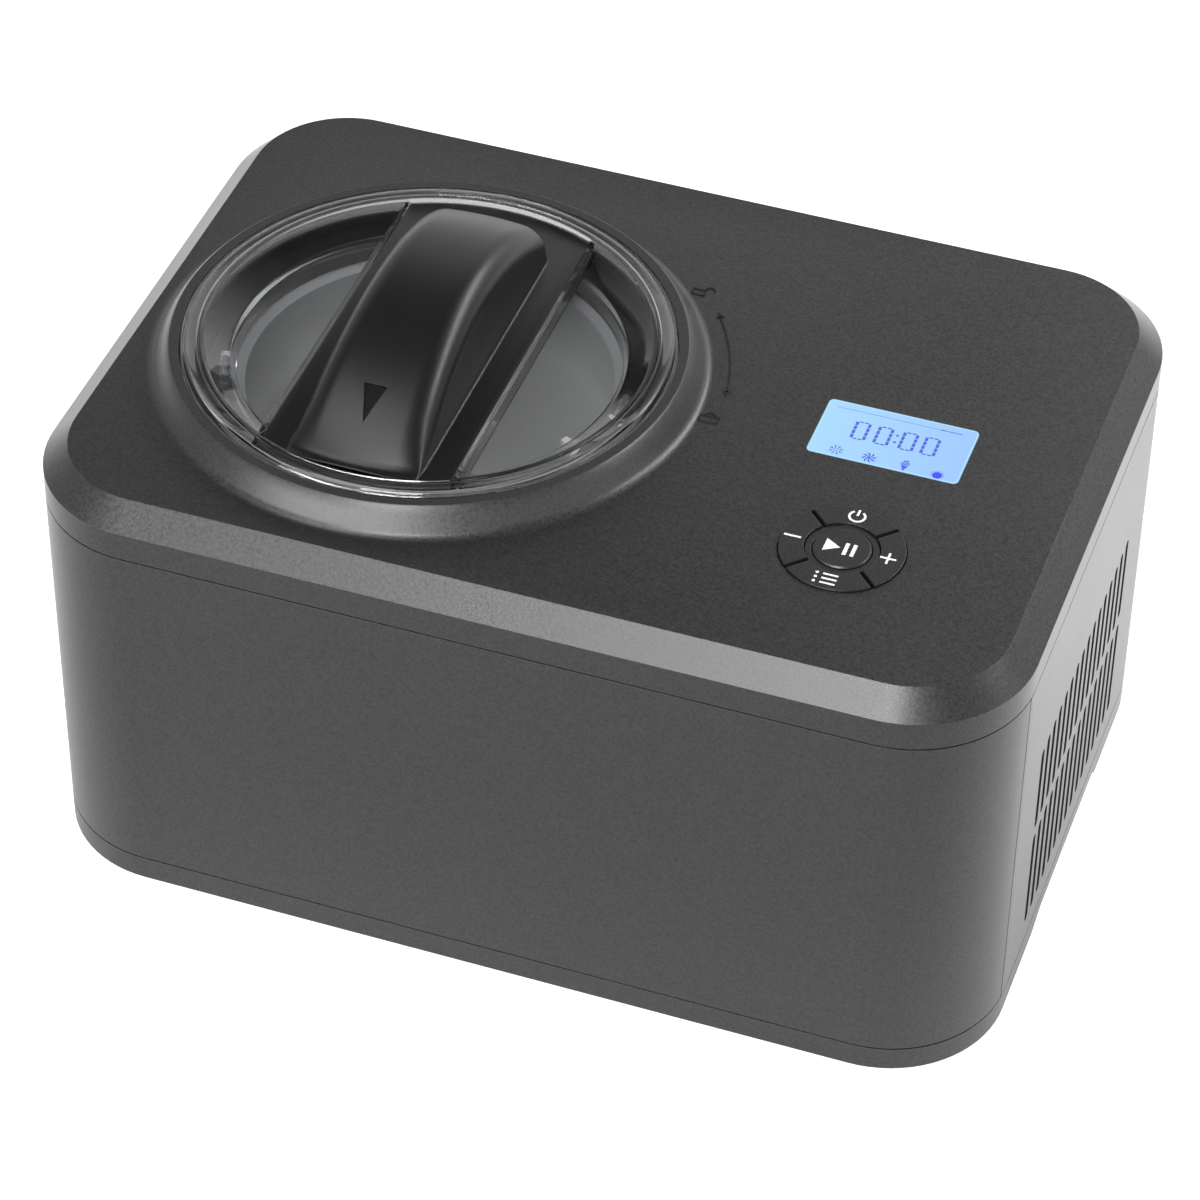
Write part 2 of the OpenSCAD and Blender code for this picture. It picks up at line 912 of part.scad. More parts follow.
// Arched grip, lofted through its sections
module grip_body(z) {
    sections = [
        for (y = grip_places())
            [for (p = full_section(y)) [p[0], bowed(p[0], y), z + p[1]]]
    ];
    n = len(sections[0]);
    spans = len(sections) - 1;
    last = spans * n;
    points = [for (s = sections, p = s) p];
    sides = [
        for (i = [0 : spans - 1], j = [0 : n - 1])
            [i * n + j, i * n + (j + 1) % n, (i + 1) * n + (j + 1) % n, (i + 1) * n + j]
    ];
    front_end = [for (j = [0 : n / 2 - 2]) [n - 1 - j, n - 2 - j, j + 1, j]];
    back_end = [for (j = [0 : n / 2 - 2]) [last + j, last + j + 1, last + n - 2 - j, last + n - 1 - j]];
    polyhedron(points, concat(sides, front_end, back_end));
}

// Hollow under the arch, open at the bottom
module grip_hollow(z) {
    hollow_w = grip_top_w - 2 * grip_wall - 2;
    hollow_start = 19 - grip_reach;
    hollow_len = grip_blunt - grip_end_round - grip_wall - hollow_start;
    intersection() {
        translate([0, 0, z + grip_rise - arch_r()])
            rotate([0, 90, 0])
                cylinder(h = hollow_w, r = arch_r() - grip_wall, center = true, $fn = 180);
        translate([-hollow_w / 2, hollow_start, z - plate_t - 1])
            cube([hollow_w, hollow_len, grip_rise + plate_t]);
    }
}

module lid_handle() {
    plate_z = top_z + plate_top_h - plate_t;
    color(black)
        at_lid() {
            difference() {
                union() {
                    translate([0, 0, plate_z])
                        linear_extrude(plate_t)
                            strip_outline(plate_w / 2, plate_end_r);
                    grip_body(top_z + plate_top_h);
                }
                grip_hollow(top_z + plate_top_h);
            }
            translate([0, 0, top_z + window_h])
                linear_extrude(plate_top_h - plate_t - window_h + bite)
                    difference() {
                        strip_outline(plate_w / 2, plate_end_r);
                        strip_outline(plate_w / 2 - 2, plate_end_r - 2);
                    }
            for (x = [-1, 1], y = [-1, 1])
                translate([x * handle_screw_x, y * handle_screw_y, 0])
                    ring(4, 1.6, top_z + window_h, plate_top_h - plate_t - window_h + bite);
        }
}

module handle_screws() {
    color(metal)
        at_lid()
            for (x = [-1, 1], y = [-1, 1])
                translate([x * handle_screw_x, y * handle_screw_y, top_z + window_h - lid_t])
                    screw(3.2, 1.6, 1.5, 6);
}

// ---------- bowl and paddle ----------

module bowl() {
    in_r = bowl_r - bowl_wall;
    profile = concat(
        [[tube_r - bowl_wall, bowl_base]],
        arc(bowl_r - bowl_fillet, bowl_base + bowl_fillet, bowl_fillet, 270, 360, 6),
        [[bowl_r, bowl_top - bowl_wall], [bowl_flange_r, bowl_top - bowl_wall],
         [bowl_flange_r, bowl_top], [in_r, bowl_top]],
        arc(bowl_r - bowl_fillet, bowl_base + bowl_fillet, bowl_fillet - bowl_wall, 360, 270, 6),
        [[tube_r, bowl_floor], [tube_r, tube_top], [tube_r - bowl_wall, tube_top]]
    );
    color(metal)
        at_lid()
            rotate_extrude()
                polygon(profile);
}

// Leaning blade with a scraping edge
module paddle_blade(x, w, z, h, lean) {
    translate([x, 0, z])
        rotate(lean)
            translate([-w / 2, -1.5, 0])
                cube([w, 3, h]);
}

module paddle() {
    socket = square_end + 0.8;
    cap_z = tube_top + 1;
    color([0.86, 0.87, 0.86])
        at_lid()
            difference() {
                union() {
                    translate([0, 0, paddle_foot])
                        cylinder(h = cap_z + 6 - paddle_foot, r = hub_r);
                    translate([0, 0, cap_z + 6 - bite])
                        cylinder(h = 16, r1 = hub_r, r2 = 9);
                    paddle_blade(paddle_reach - 9, 14, paddle_foot, paddle_top - paddle_foot, -28);
                    paddle_blade(-paddle_reach / 2 - 4, 20, paddle_foot, 58, -35);
                    for (z = [paddle_foot, cap_z - 2])
                        translate([0, -4, z])
                            cube([paddle_reach - 8, 8, 6]);
                    for (z = [paddle_foot, cap_z - 12])
                        translate([-paddle_reach / 2 - 6, -4, z])
                            cube([paddle_reach / 2, 8, 6]);
                }
                translate([0, 0, paddle_foot - 1])
                    cylinder(h = cap_z - paddle_foot + 1, r = tube_r + hub_gap);
                translate([0, 0, cap_z + 5])
                    cube([socket, socket, 14], center = true);
            }
}

// ---------- cooled drum ----------

module evaporator_drum() {
    color(metal)
        at_lid()
            difference() {
                rotate_extrude()
                    polygon([[0, drum_floor_z], [drum_r + drum_wall, drum_floor_z],
                             [drum_r + drum_wall, drum_flange_z + drum_wall],
                             [drum_r, drum_flange_z + drum_wall],
                             [drum_r, drum_floor_z + drum_wall], [0, drum_floor_z + drum_wall]]);
                translate([0, 0, drum_floor_z - 1])
                    cylinder(h = drum_wall + 2, r = bush_r);
            }
}

// Collar welded round the mouth of the drum
module drum_flange() {
    color(metal)
        at_lid()
            ring(drum_flange_r, drum_r + drum_wall, drum_flange_z, drum_wall);
}

module drum_gasket() {
    color([0.8, 0.8, 0.78])
        at_lid()
            ring(drum_flange_r, throat_r, drum_flange_z + drum_wall,
                 top_z - throat_drop - drum_flange_z - drum_wall);
}

module evaporator_coil() {
    color(copper)
        at_lid() {
            for (i = [0 : coil_turns])
                translate([0, 0, coil_z0 + i * coil_pitch])
                    rotate_extrude()
                        translate([coil_r, 0])
                            circle(coil_pipe_r, $fn = 32);
            translate([-coil_r, 0, coil_z0])
                cylinder(h = coil_turns * coil_pitch, r = coil_pipe_r - 0.5, $fn = 32);
        }
}

module insulation_jacket() {
    color([0.93, 0.9, 0.8])
        at_lid()
            difference() {
                translate([0, 0, jacket_z])
                    cylinder(h = drum_flange_z - jacket_z, r = jacket_r);
                translate([0, 0, drum_floor_z])
                    cylinder(h = drum_flange_z, r = jacket_in_r);
                translate([0, 0, jacket_z - 1])
                    cylinder(h = jacket_floor + 2, r = bush_r + 1);
                for (p = [[pipe_side, suction_z], [-pipe_side, capillary_z]])
                    translate([coil_r - 12, p[0], p[1]])
                        rotate([0, 90, 0])
                            cylinder(h = jacket_r, r = coil_pipe_r + 0.5);
            }
}

module shaft_seal() {
    color([0.2, 0.2, 0.2])
        at_lid()
            ring(bush_r, shaft_r + run_gap, drum_floor_z - 3, drum_wall + 3);
}

// ---------- drive ----------

// Outline of a spur gear: tapered teeth with clearance at the root and play at the sides
module gear_outline(teeth) {
    pitch_r = gear_module * teeth / 2;
    step = 360 / teeth;
    corners = [[-1.25, -0.29], [0.85, -0.12], [0.85, 0.12], [-1.25, 0.29]];
    polygon([
        for (i = [0 : teeth - 1], c = corners)
            let (r = pitch_r + gear_module * c[0], a = (i + c[1]) * step)
            [r * cos(a), r * sin(a)]
    ]);
}

module gear_wheel(teeth, z, h, turn) {
    translate([0, 0, z])
        rotate(turn)
            linear_extrude(h)
                gear_outline(teeth);
}

module drive_shaft() {
    color(metal)
        at_lid() {
            translate([0, 0, shaft_bottom])
                cylinder(h = shaft_top - square_end - 6 - shaft_bottom, r = shaft_r);
            translate([-square_end / 2, -square_end / 2, shaft_top - square_end - 7])
                cube([square_end, square_end, square_end + 7]);
        }
}

module output_gear() {
    color([0.9, 0.88, 0.8])
        at_lid()
            difference() {
                union() {
                    gear_wheel(output_teeth, high_gear_z, high_gear_h, 0);
                    translate([0, 0, high_gear_z - 0.5])
                        cylinder(h = high_gear_h + 1, r = 10);
                }
                translate([0, 0, high_gear_z - 1])
                    cylinder(h = high_gear_h + 2, r = shaft_r + run_gap);
                for (a = [0 : 60 : 300])
                    rotate(a)
                        translate([19, 0, high_gear_z - 1])
                            cylinder(h = high_gear_h + 2, r = 5.5);
            }
}

module reduction_gear() {
    color([0.85, 0.85, 0.85])
        at_lid()
            translate([idler_x, 0, 0])
                difference() {
                    union() {
                        gear_wheel(large_teeth, low_gear_z, low_gear_h, 0);
                        gear_wheel(small_teeth, low_gear_z + low_gear_h - bite, high_gear_h + 1.5,
                                   180 + 180 / small_teeth);
                    }
                    translate([0, 0, low_gear_z - 1])
                        cylinder(h = low_gear_h + high_gear_h + 4, r = pin_r + run_gap);
                }
}

module motor_pinion() {
    color(metal)
        at_lid()
            translate([motor_x, 0, 0]) {
                gear_wheel(pinion_teeth, low_gear_z - 0.5, low_gear_h + 1, 180 + 180 / pinion_teeth);
                translate([0, 0, motor_z + 8])
                    cylinder(h = low_gear_z + low_gear_h - motor_z - 8, r = 1.6);
            }
}

module idler_pin() {
    color(metal)
        at_lid()
            translate([idler_x, 0, gearbox_z + 1])
                cylinder(h = gearbox_h, r = pin_r);
}

module gearbox_outline(inset) {
    translate([gearbox_x, 0])
        rounded_outline(gearbox_w - 2 * inset, gearbox_d - 2 * inset, gearbox_r - inset);
}

module gearbox_case() {
    color([0.3, 0.3, 0.32])
        at_lid()
            difference() {
                union() {
                    translate([0, 0, gearbox_z])
                        linear_extrude(2)
                            gearbox_outline(0);
                    translate([0, 0, gearbox_z])
                        linear_extrude(gearbox_h)
                            difference() {
                                gearbox_outline(0);
                                gearbox_outline(2);
                            }
                    translate([0, 0, gearbox_z])
                        cylinder(h = 6.5, r = 11);
                    for (x = [-1, 1], y = [-1, 1])
                        translate([gearbox_x + x * gearbox_post_x, y * gearbox_post_y, gearbox_z])
                            cylinder(h = gearbox_h, r = 4.5);
                }
                translate([0, 0, gearbox_z + 1])
                    cylinder(h = 20, r = bush_r);
                translate([idler_x, 0, gearbox_z + 1])
                    cylinder(h = 20, r = pin_r);
                translate([motor_x, 0, gearbox_z - 1])
                    cylinder(h = 20, r = 4);
                for (x = [-1, 1], y = [-1, 1])
                    translate([gearbox_x + x * gearbox_post_x, y * gearbox_post_y, gearbox_z + 4])
                        cylinder(h = gearbox_h, r = 1.5);
            }
}

module gearbox_cover() {
    cover_bottom = gearbox_z + gearbox_h;
    color([0.3, 0.3, 0.32])
        at_lid()
            difference() {
                union() {
                    translate([0, 0, cover_bottom])
                        linear_extrude(gearbox_lid_t)
                            gearbox_outline(0);
                    translate([0, 0, cover_bottom])
                        cylinder(h = 5, r = 11);
                }
                translate([0, 0, cover_bottom - 1])
                    cylinder(h = 10, r = bush_r);
                translate([idler_x, 0, cover_bottom - 1])
                    cylinder(h = 2, r = pin_r);
                for (x = [-1, 1], y = [-1, 1])
                    translate([gearbox_x + x * gearbox_post_x, y * gearbox_post_y, cover_bottom - 1])
                        cylinder(h = 10, r = 1.8);
            }
}

module gearbox_screws() {
    color(metal)
        at_lid()
            for (x = [-1, 1], y = [-1, 1])
                translate([gearbox_x + x * gearbox_post_x, y * gearbox_post_y,
                           gearbox_z + gearbox_h + gearbox_lid_t])
                    mirror([0, 0, 1])
                        screw(3.2, 1.8, 1.4, 12);
}

module shaft_bushes() {
    color([0.75, 0.6, 0.3])
        at_lid() {
            ring(bush_r, shaft_r + run_gap, gearbox_z + 1, 5.5);
            ring(bush_r, shaft_r + run_gap, gearbox_z + gearbox_h, 5);
        }
}

module drive_motor() {
    can_h = gearbox_z - motor_z;
    color(metal)
        at_lid()
            translate([motor_x, 0, 0])
                difference() {
                    union() {
                        translate([0, 0, motor_z])
                            cylinder(h = can_h, r = motor_r);
                        translate([0, 0, motor_z - 2])
                            cylinder(h = 3, r = 6);
                    }
                    translate([0, 0, motor_z + 7])
                        cylinder(h = can_h, r = 1.6 + run_gap);
                    for (x = [-1, 1])
                        translate([x * motor_r, 0, motor_z + can_h / 2])
                            cube([1.5, 9, 12], center = true);
                }
}

// ---------- cooling ----------

module compressor() {
    r = compressor_r;
    z = compressor_z;
    h = compressor_h;
    shell = concat(
        [[0, z + 4]],
        arc(r - 14, z + 18, 14, 270, 360, 5),
        [[r, z + h * 0.55], [r + 2, z + h * 0.55], [r + 2, z + h * 0.55 + 4], [r, z + h * 0.55 + 4]],
        arc(r - 20, z + h - 20, 20, 0, 90, 6),
        [[0, z + h + 1]]
    );
    color([0.12, 0.12, 0.13])
        translate([compressor_x, compressor_y, 0]) {
            rotate_extrude()
                polygon(shell);
            difference() {
                translate([0, 0, z])
                    linear_extrude(2.5)
                        rounded_outline(2 * grommet_x + 16, 2 * grommet_y + 14, 7);
                for (x = [-1, 1], y = [-1, 1])
                    translate([x * grommet_x, y * grommet_y, z - 1])
                        cylinder(h = 5, r = 5);
            }
            translate([0, 0, z + 1])
                cylinder(h = 8, r = 20);
            translate([0, -r + 2, z + 40])
                cube([34, 24, 36], center = true);
        }
}

module compressor_grommets() {
    color(black)
        translate([compressor_x, compressor_y, 0])
            for (x = [-1, 1], y = [-1, 1])
                translate([x * grommet_x, y * grommet_y, 0])
                    rotate_extrude()
                        polygon([[3, 10], [8, 10], [8, compressor_z - 0.1], [4.9, compressor_z - 0.1],
                                 [4.9, compressor_z + 2.6], [6.5, compressor_z + 2.6],
                                 [6.5, compressor_z + 5], [3, compressor_z + 5]]);
}

module compressor_bolts() {
    color(metal)
        translate([compressor_x, compressor_y, 0])
            for (x = [-1, 1], y = [-1, 1])
                translate([x * grommet_x, y * grommet_y, compressor_z + 5])
                    mirror([0, 0, 1])
                        screw(5.5, 3, 2.9, compressor_z - 5);
}

module condenser() {
    fin_step = condenser_d / (condenser_fins + 1);
    row_step = condenser_h / tube_rows;
    column = condenser_w / 4;
    color([0.62, 0.63, 0.64])
        translate([condenser_x, condenser_y, 0]) {
            for (i = [1 : condenser_fins])
                translate([0, -condenser_d / 2 + i * fin_step, condenser_z + condenser_h / 2])
                    cube([condenser_w - 2, 0.6, condenser_h - 2], center = true);
            for (y = [-1, 1])
                translate([0, y * condenser_d / 2, (floor_z + condenser_z + condenser_h) / 2])
                    cube([condenser_w, 1.2, condenser_z + condenser_h - floor_z], center = true);
            for (x = [-1, 1], i = [0 : tube_rows - 1])
                translate([x * column, 0, condenser_z + (i + 0.5) * row_step])
                    rotate([90, 0, 0])
                        cylinder(h = condenser_d + 8, r = 4, center = true, $fn = 32);
            for (y = [-1, 1], i = [0 : tube_rows - 1])
                translate([0, y * (condenser_d / 2 + 3.8), condenser_z + (i + 0.5) * row_step])
                    rotate(y * 90 - 90)
                        rotate_extrude(angle = 180)
                            translate([column, 0])
                                circle(return_bend_r, $fn = 32);
        }
}

module fan_housing() {
    color([0.1, 0.1, 0.1])
        translate([fan_x, condenser_y, fan_z])
            rotate([0, 90, 0]) {
                difference() {
                    translate([0, 0, -fan_t / 2])
                        linear_extrude(fan_t)
                            rounded_outline(fan_size, fan_size, 6);
                    translate([0, 0, -fan_t])
                        cylinder(h = 2 * fan_t, r = fan_hole_r);
                }
                translate([0, 0, -fan_t / 2]) {
                    cylinder(h = 4, r = fan_hub_r);
                    for (a = [45 : 90 : 315])
                        rotate(a)
                            translate([fan_hub_r - 1, -2.5, 0])
                                cube([fan_hole_r - fan_hub_r + 2, 5, 3]);
                    cylinder(h = 12, r = 2);
                }
            }
}

module fan_rotor() {
    color([0.16, 0.16, 0.17])
        translate([fan_x, condenser_y, fan_z])
            rotate([0, 90, 0])
                difference() {
                    union() {
                        translate([0, 0, -fan_t / 2 + 4.6])
                            cylinder(h = fan_t - 6, r = fan_hub_r);
                        for (i = [0 : fan_blades - 1])
                            rotate(i * 360 / fan_blades)
                                translate([fan_hub_r - 2, 0, 1.5])
                                    rotate([35, 0, 0])
                                        translate([0, -11, -0.8])
                                            cube([fan_hole_r - fan_hub_r - 0.5, 22, 1.6]);
                    }
                    translate([0, 0, -fan_t / 2])
                        cylinder(h = 13, r = 2 + run_gap);
                }
}

module filter_drier() {
    color(copper)
        translate([drier_x, drier_y, 0])
            rotate_extrude()
                polygon([[0, drier_z], [3, drier_z], [3, drier_z + 5], [drier_r, drier_z + 13],
                         [drier_r, drier_z + drier_h - 13], [3, drier_z + drier_h - 5],
                         [3, drier_z + drier_h], [0, drier_z + drier_h]]);
}

// Outside of the coil at a distance from the lid's middle line
function coil_reach(y) = sqrt(pow(coil_r + coil_pipe_r, 2) - y * y);

module suction_pipe() {
    y = lid_y + pipe_side;
    start = lid_x + coil_reach(pipe_side - coil_pipe_r);
    color(copper)
        pipe_run([[start, y, suction_z], [56, y, suction_z], [56, compressor_y, suction_z],
                  [compressor_x, compressor_y, suction_z],
                  [compressor_x, compressor_y, compressor_z + compressor_h + 1]], coil_pipe_r);
}

module discharge_pipe() {
    x = condenser_x;
    y = compressor_y + compressor_r + 8;
    high = condenser_z + condenser_h + 12;
    tube_z = condenser_z + condenser_h * (tube_rows - 0.5) / tube_rows;
    color(copper)
        pipe_run([[compressor_x, compressor_y + compressor_r, 86], [compressor_x, y, 86],
                  [compressor_x, y, high], [x, y, high], [x, y, tube_z],
                  [x, condenser_y + condenser_end, tube_z]], 3);
}

module condenser_pipe() {
    x = condenser_x;
    tube_z = condenser_z + condenser_h / tube_rows / 2;
    high = drier_z + drier_h + 10;
    color(copper)
        pipe_run([[x, condenser_y - condenser_end, tube_z], [x, drier_y, tube_z], [x, drier_y, high],
                  [drier_x, drier_y, high], [drier_x, drier_y, drier_z + drier_h]], 2.4);
}

module capillary_tube() {
    y = lid_y - pipe_side;
    start = lid_x + coil_reach(pipe_side - 1.5);
    color(copper)
        pipe_run([[start, y, capillary_z], [50, y, capillary_z], [50, drier_y, capillary_z],
                  [132, drier_y, capillary_z], [132, drier_y, drier_z + 4],
                  [drier_x - 3, drier_y, drier_z + 4]], 1.5);
}

// ---------- power ----------

module power_board() {
    color([0.55, 0.4, 0.2])
        translate([power_x, power_y, power_z + board_t / 2])
            cube([76, 44, board_t], center = true);
    color([0.85, 0.75, 0.2])
        translate([power_x - 18, power_y, power_z + board_t - bite])
            translate([-14, -12, 0])
                cube([28, 24, 24]);
    color([0.1, 0.2, 0.5])
        translate([power_x + 12, power_y - 6, power_z + board_t - bite])
            cylinder(h = 26, r = 7);
    color([0.15, 0.15, 0.6])
        translate([power_x + 24, power_y + 2, power_z + board_t - bite])
            cube([10, 16, 14]);
}

module cord_gland() {
    color(black)
        translate([gland_x, body_d / 2, gland_z])
            rotate([90, 0, 0])
                difference() {
                    union() {
                        cylinder(h = wall + 3, r = gland_r);
                        translate([0, 0, wall])
                            cylinder(h = 3, r = gland_r + 3);
                        translate([0, 0, wall])
                            cylinder(h = 14, r = 7);
                    }
                    translate([0, 0, -1])
                        cylinder(h = 20, r = cord_r);
                }
}

top_cover();
front_shell();
right_panel();
left_panel();
rear_panel();
base_tray();
rubber_feet();
base_screws();
lcd_lens();
lcd_module();
control_board();
key_switches();
key_frame();
key_power();
key_minus();
key_plus();
key_menu();
key_start();
lid_seal();
lid_window();
lid_handle();
handle_screws();
bowl();
paddle();
evaporator_drum();
drum_flange();
drum_gasket();
evaporator_coil();
insulation_jacket();
shaft_seal();
drive_shaft();
output_gear();
reduction_gear();
motor_pinion();
idler_pin();
gearbox_case();
gearbox_cover();
gearbox_screws();
shaft_bushes();
drive_motor();
compressor();
compressor_grommets();
compressor_bolts();
condenser();
fan_housing();
fan_rotor();
filter_drier();
suction_pipe();
discharge_pipe();
condenser_pipe();
capillary_tube();
power_board();
cord_gland();
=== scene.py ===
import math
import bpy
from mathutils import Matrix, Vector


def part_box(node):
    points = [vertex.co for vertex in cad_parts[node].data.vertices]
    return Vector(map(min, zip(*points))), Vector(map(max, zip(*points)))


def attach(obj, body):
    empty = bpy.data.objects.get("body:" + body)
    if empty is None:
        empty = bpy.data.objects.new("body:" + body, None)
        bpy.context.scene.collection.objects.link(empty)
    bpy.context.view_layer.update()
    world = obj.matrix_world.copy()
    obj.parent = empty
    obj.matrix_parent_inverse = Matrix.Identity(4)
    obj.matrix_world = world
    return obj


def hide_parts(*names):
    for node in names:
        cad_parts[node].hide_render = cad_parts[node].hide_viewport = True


bl_info = {
    "name": "Ice Cream Maker Looks",
    "version": (1, 0, 0),
    "blender": (4, 5, 0),
    "location": "View3D > Sidebar > Ice Cream Maker",
    "description": "Builds the finishes, marks, handle, display and studio of the ice cream maker",
    "category": "Object",
}

import bmesh
import bpy
from bpy.props import FloatProperty, FloatVectorProperty, IntProperty, PointerProperty
from mathutils import Matrix, Vector

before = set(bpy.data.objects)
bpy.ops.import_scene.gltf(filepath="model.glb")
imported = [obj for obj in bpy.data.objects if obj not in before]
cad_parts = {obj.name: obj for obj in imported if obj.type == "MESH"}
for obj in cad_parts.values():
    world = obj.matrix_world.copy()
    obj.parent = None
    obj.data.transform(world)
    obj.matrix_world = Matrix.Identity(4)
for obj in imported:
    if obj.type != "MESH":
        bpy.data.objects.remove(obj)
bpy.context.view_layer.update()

# Lengths and places are in millimetres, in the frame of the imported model. Those of the settings,
# shaders and studio are in metres.
MM = 0.001
LID_X, LID_Y = -69.5, -10.5
# Radius of the lid's seat and width of the fading edge of the painted shade inside it.
THROAT_R, THROAT_FADE = 87.4, 0.2
FLAT_TOP = 191.0
SMOOTH_ANGLE, HANDLE_SMOOTH_ANGLE = math.radians(32), math.radians(38)
SPLIT_POINTS = 0.002


# ---------- settings ----------

def colour_prop(name, description, default):
    return FloatVectorProperty(name=name, description=description, subtype="COLOR", size=3,
                               min=0.0, max=1.0, default=default)


def length_prop(name, description, default):
    return FloatProperty(name=name, description=description, subtype="DISTANCE", unit="LENGTH",
                         default=default, precision=5)


def share_prop(name, description, default):
    return FloatProperty(name=name, description=description, subtype="FACTOR", min=0.0, max=1.0,
                         default=default)


def power_prop(name, description, default):
    return FloatProperty(name=name, description=description, subtype="POWER", unit="POWER",
                         default=default)


class IceCreamHousingLook(bpy.types.PropertyGroup):
    colour: colour_prop("Housing Colour", "Colour of the moulded housing", (0.013, 0.013, 0.0135))
    roughness: share_prop("Housing Roughness", "Roughness of the moulded housing", 0.40)
    grain: length_prop("Grain Size", "Width of one grain of the moulded texture", 0.0011)
    grain_depth: length_prop("Grain Depth", "Depth of the moulded texture", 0.00018)


class IceCreamLidLook(bpy.types.PropertyGroup):
    tint: colour_prop("Lid Tint", "Colour of the clear lid", (0.96, 0.97, 0.98))
    handle_colour: colour_prop("Handle Colour", "Colour of the black lid handle", (0.005, 0.005, 0.0055))
    handle_roughness: share_prop("Handle Roughness", "Roughness of the black lid handle", 0.34)
    stations: IntProperty(name="Grip Stations", description="Sections along the grip",
                          default=96, min=16, max=200)


class IceCreamDisplayLook(bpy.types.PropertyGroup):
    backlight: colour_prop("Backlight", "Colour of the lit display", (0.35, 0.59, 0.98))
    glow: FloatProperty(name="Backlight Strength", description="Brightness of the lit display",
                        default=0.92, min=0.0, max=4.0)
    digit_colour: colour_prop("Digit Colour", "Colour of the digits and symbols", (0.07, 0.09, 0.55))
    digit_height: length_prop("Digit Height", "Height of a digit", 0.0105)


class IceCreamKeyLook(bpy.types.PropertyGroup):
    print_colour: colour_prop("Print Colour", "Colour of the symbols on the keys", (0.86, 0.86, 0.86))
    print_thickness: length_prop("Print Thickness", "Thickness of the printed symbols", 0.00006)


class IceCreamStageLook(bpy.types.PropertyGroup):
    floor_colour: colour_prop("Floor Colour", "Colour of the floor", (0.50, 0.50, 0.50))
    key_power: power_prop("Front Light", "Power of the large light above the front", 43.0)
    low_power: power_prop("Low Front Light", "Power of the light low in front", 52.0)
    side_power: power_prop("Back Light", "Power of the light behind on the right", 5.6)
    top_power: power_prop("Top Light", "Power of the small light above the lid", 5.2)
    camera_lens: FloatProperty(name="Camera Lens", description="Focal length of the camera",
                               subtype="DISTANCE_CAMERA", default=134.1)


# ---------- node helpers ----------

def new_material(name):
    material = bpy.data.materials.new(name)
    material.use_nodes = True
    tree = material.node_tree
    tree.nodes.clear()
    out = tree.nodes.new("ShaderNodeOutputMaterial")
    shader = tree.nodes.new("ShaderNodeBsdfPrincipled")
    tree.links.new(shader.outputs["BSDF"], out.inputs["Surface"])
    return material, tree, shader


def object_coords(tree):
    return tree.nodes.new("ShaderNodeTexCoord").outputs["Object"]


def noise(tree, scale, detail=2.0, roughness=0.5):
    node = tree.nodes.new("ShaderNodeTexNoise")
    node.inputs["Scale"].default_value = scale
    node.inputs["Detail"].default_value = detail
    node.inputs["Roughness"].default_value = roughness
    tree.links.new(object_coords(tree), node.inputs["Vector"])
    return node.outputs["Fac"]


def remap(tree, value, low, high, start=0.3, end=0.7):
    node = tree.nodes.new("ShaderNodeMapRange")
    node.inputs["From Min"].default_value = start
    node.inputs["From Max"].default_value = end
    node.inputs["To Min"].default_value = low
    node.inputs["To Max"].default_value = high
    tree.links.new(value, node.inputs["Value"])
    return node.outputs["Result"]


def colour_between(tree, value, dark, light):
    node = tree.nodes.new("ShaderNodeMix")
    node.data_type = "RGBA"
    node.inputs["A"].default_value = (*dark, 1.0)
    node.inputs["B"].default_value = (*light, 1.0)
    tree.links.new(value, node.inputs["Factor"])
    return node.outputs["Result"]


def split_axes(tree, vector):
    """The three parts of a vector."""
    node = tree.nodes.new("ShaderNodeSeparateXYZ")
    tree.links.new(vector, node.inputs["Vector"])
    return [node.outputs[axis] for axis in "XYZ"]


def combined(tree, operation, a, b):
    """Result of a math operation on two values, each a number or a node's output."""
    node = tree.nodes.new("ShaderNodeMath")
    node.operation = operation
    for socket, value in zip(node.inputs, (a, b)):
        if isinstance(value, float):
            socket.default_value = value
        else:
            tree.links.new(value, socket)
    return node.outputs["Value"]


def product(tree, first, *others):
    """Product of two or more values."""
    for other in others:
        first = combined(tree, "MULTIPLY", first, other)
    return first


def output_of(tree):
    return next(node for node in tree.nodes if node.bl_idname.startswith("ShaderNodeOutput"))


def mix_to_output(tree, share, first, second):
    """Sends a mix of two shaders to the output."""
    mix = tree.nodes.new("ShaderNodeMixShader")
    tree.links.new(share, mix.inputs["Fac"])
    tree.links.new(first, mix.inputs[1])
    tree.links.new(second, mix.inputs[2])
    tree.links.new(mix.outputs["Shader"], output_of(tree).inputs["Surface"])


def soft_edges(tree, radius):
    """Normal that rounds sharp edges a little, as moulded ones are."""
    node = tree.nodes.new("ShaderNodeBevel")
    node.samples = 4
    node.inputs["Radius"].default_value = radius
    return node.outputs["Normal"]


def bump(tree, value, strength, distance, normal=None):
    node = tree.nodes.new("ShaderNodeBump")
    node.inputs["Strength"].default_value = strength
    node.inputs["Distance"].default_value = distance
    tree.links.new(value, node.inputs["Height"])
    if normal is not None:
        tree.links.new(normal, node.inputs["Normal"])
    return node.outputs["Normal"]


def shaded(colour, factor):
    return tuple(min(1.0, c * factor) for c in colour)


ROUGHNESS_DRIFT = 0.02
COAT_ROUGHNESS = 0.34


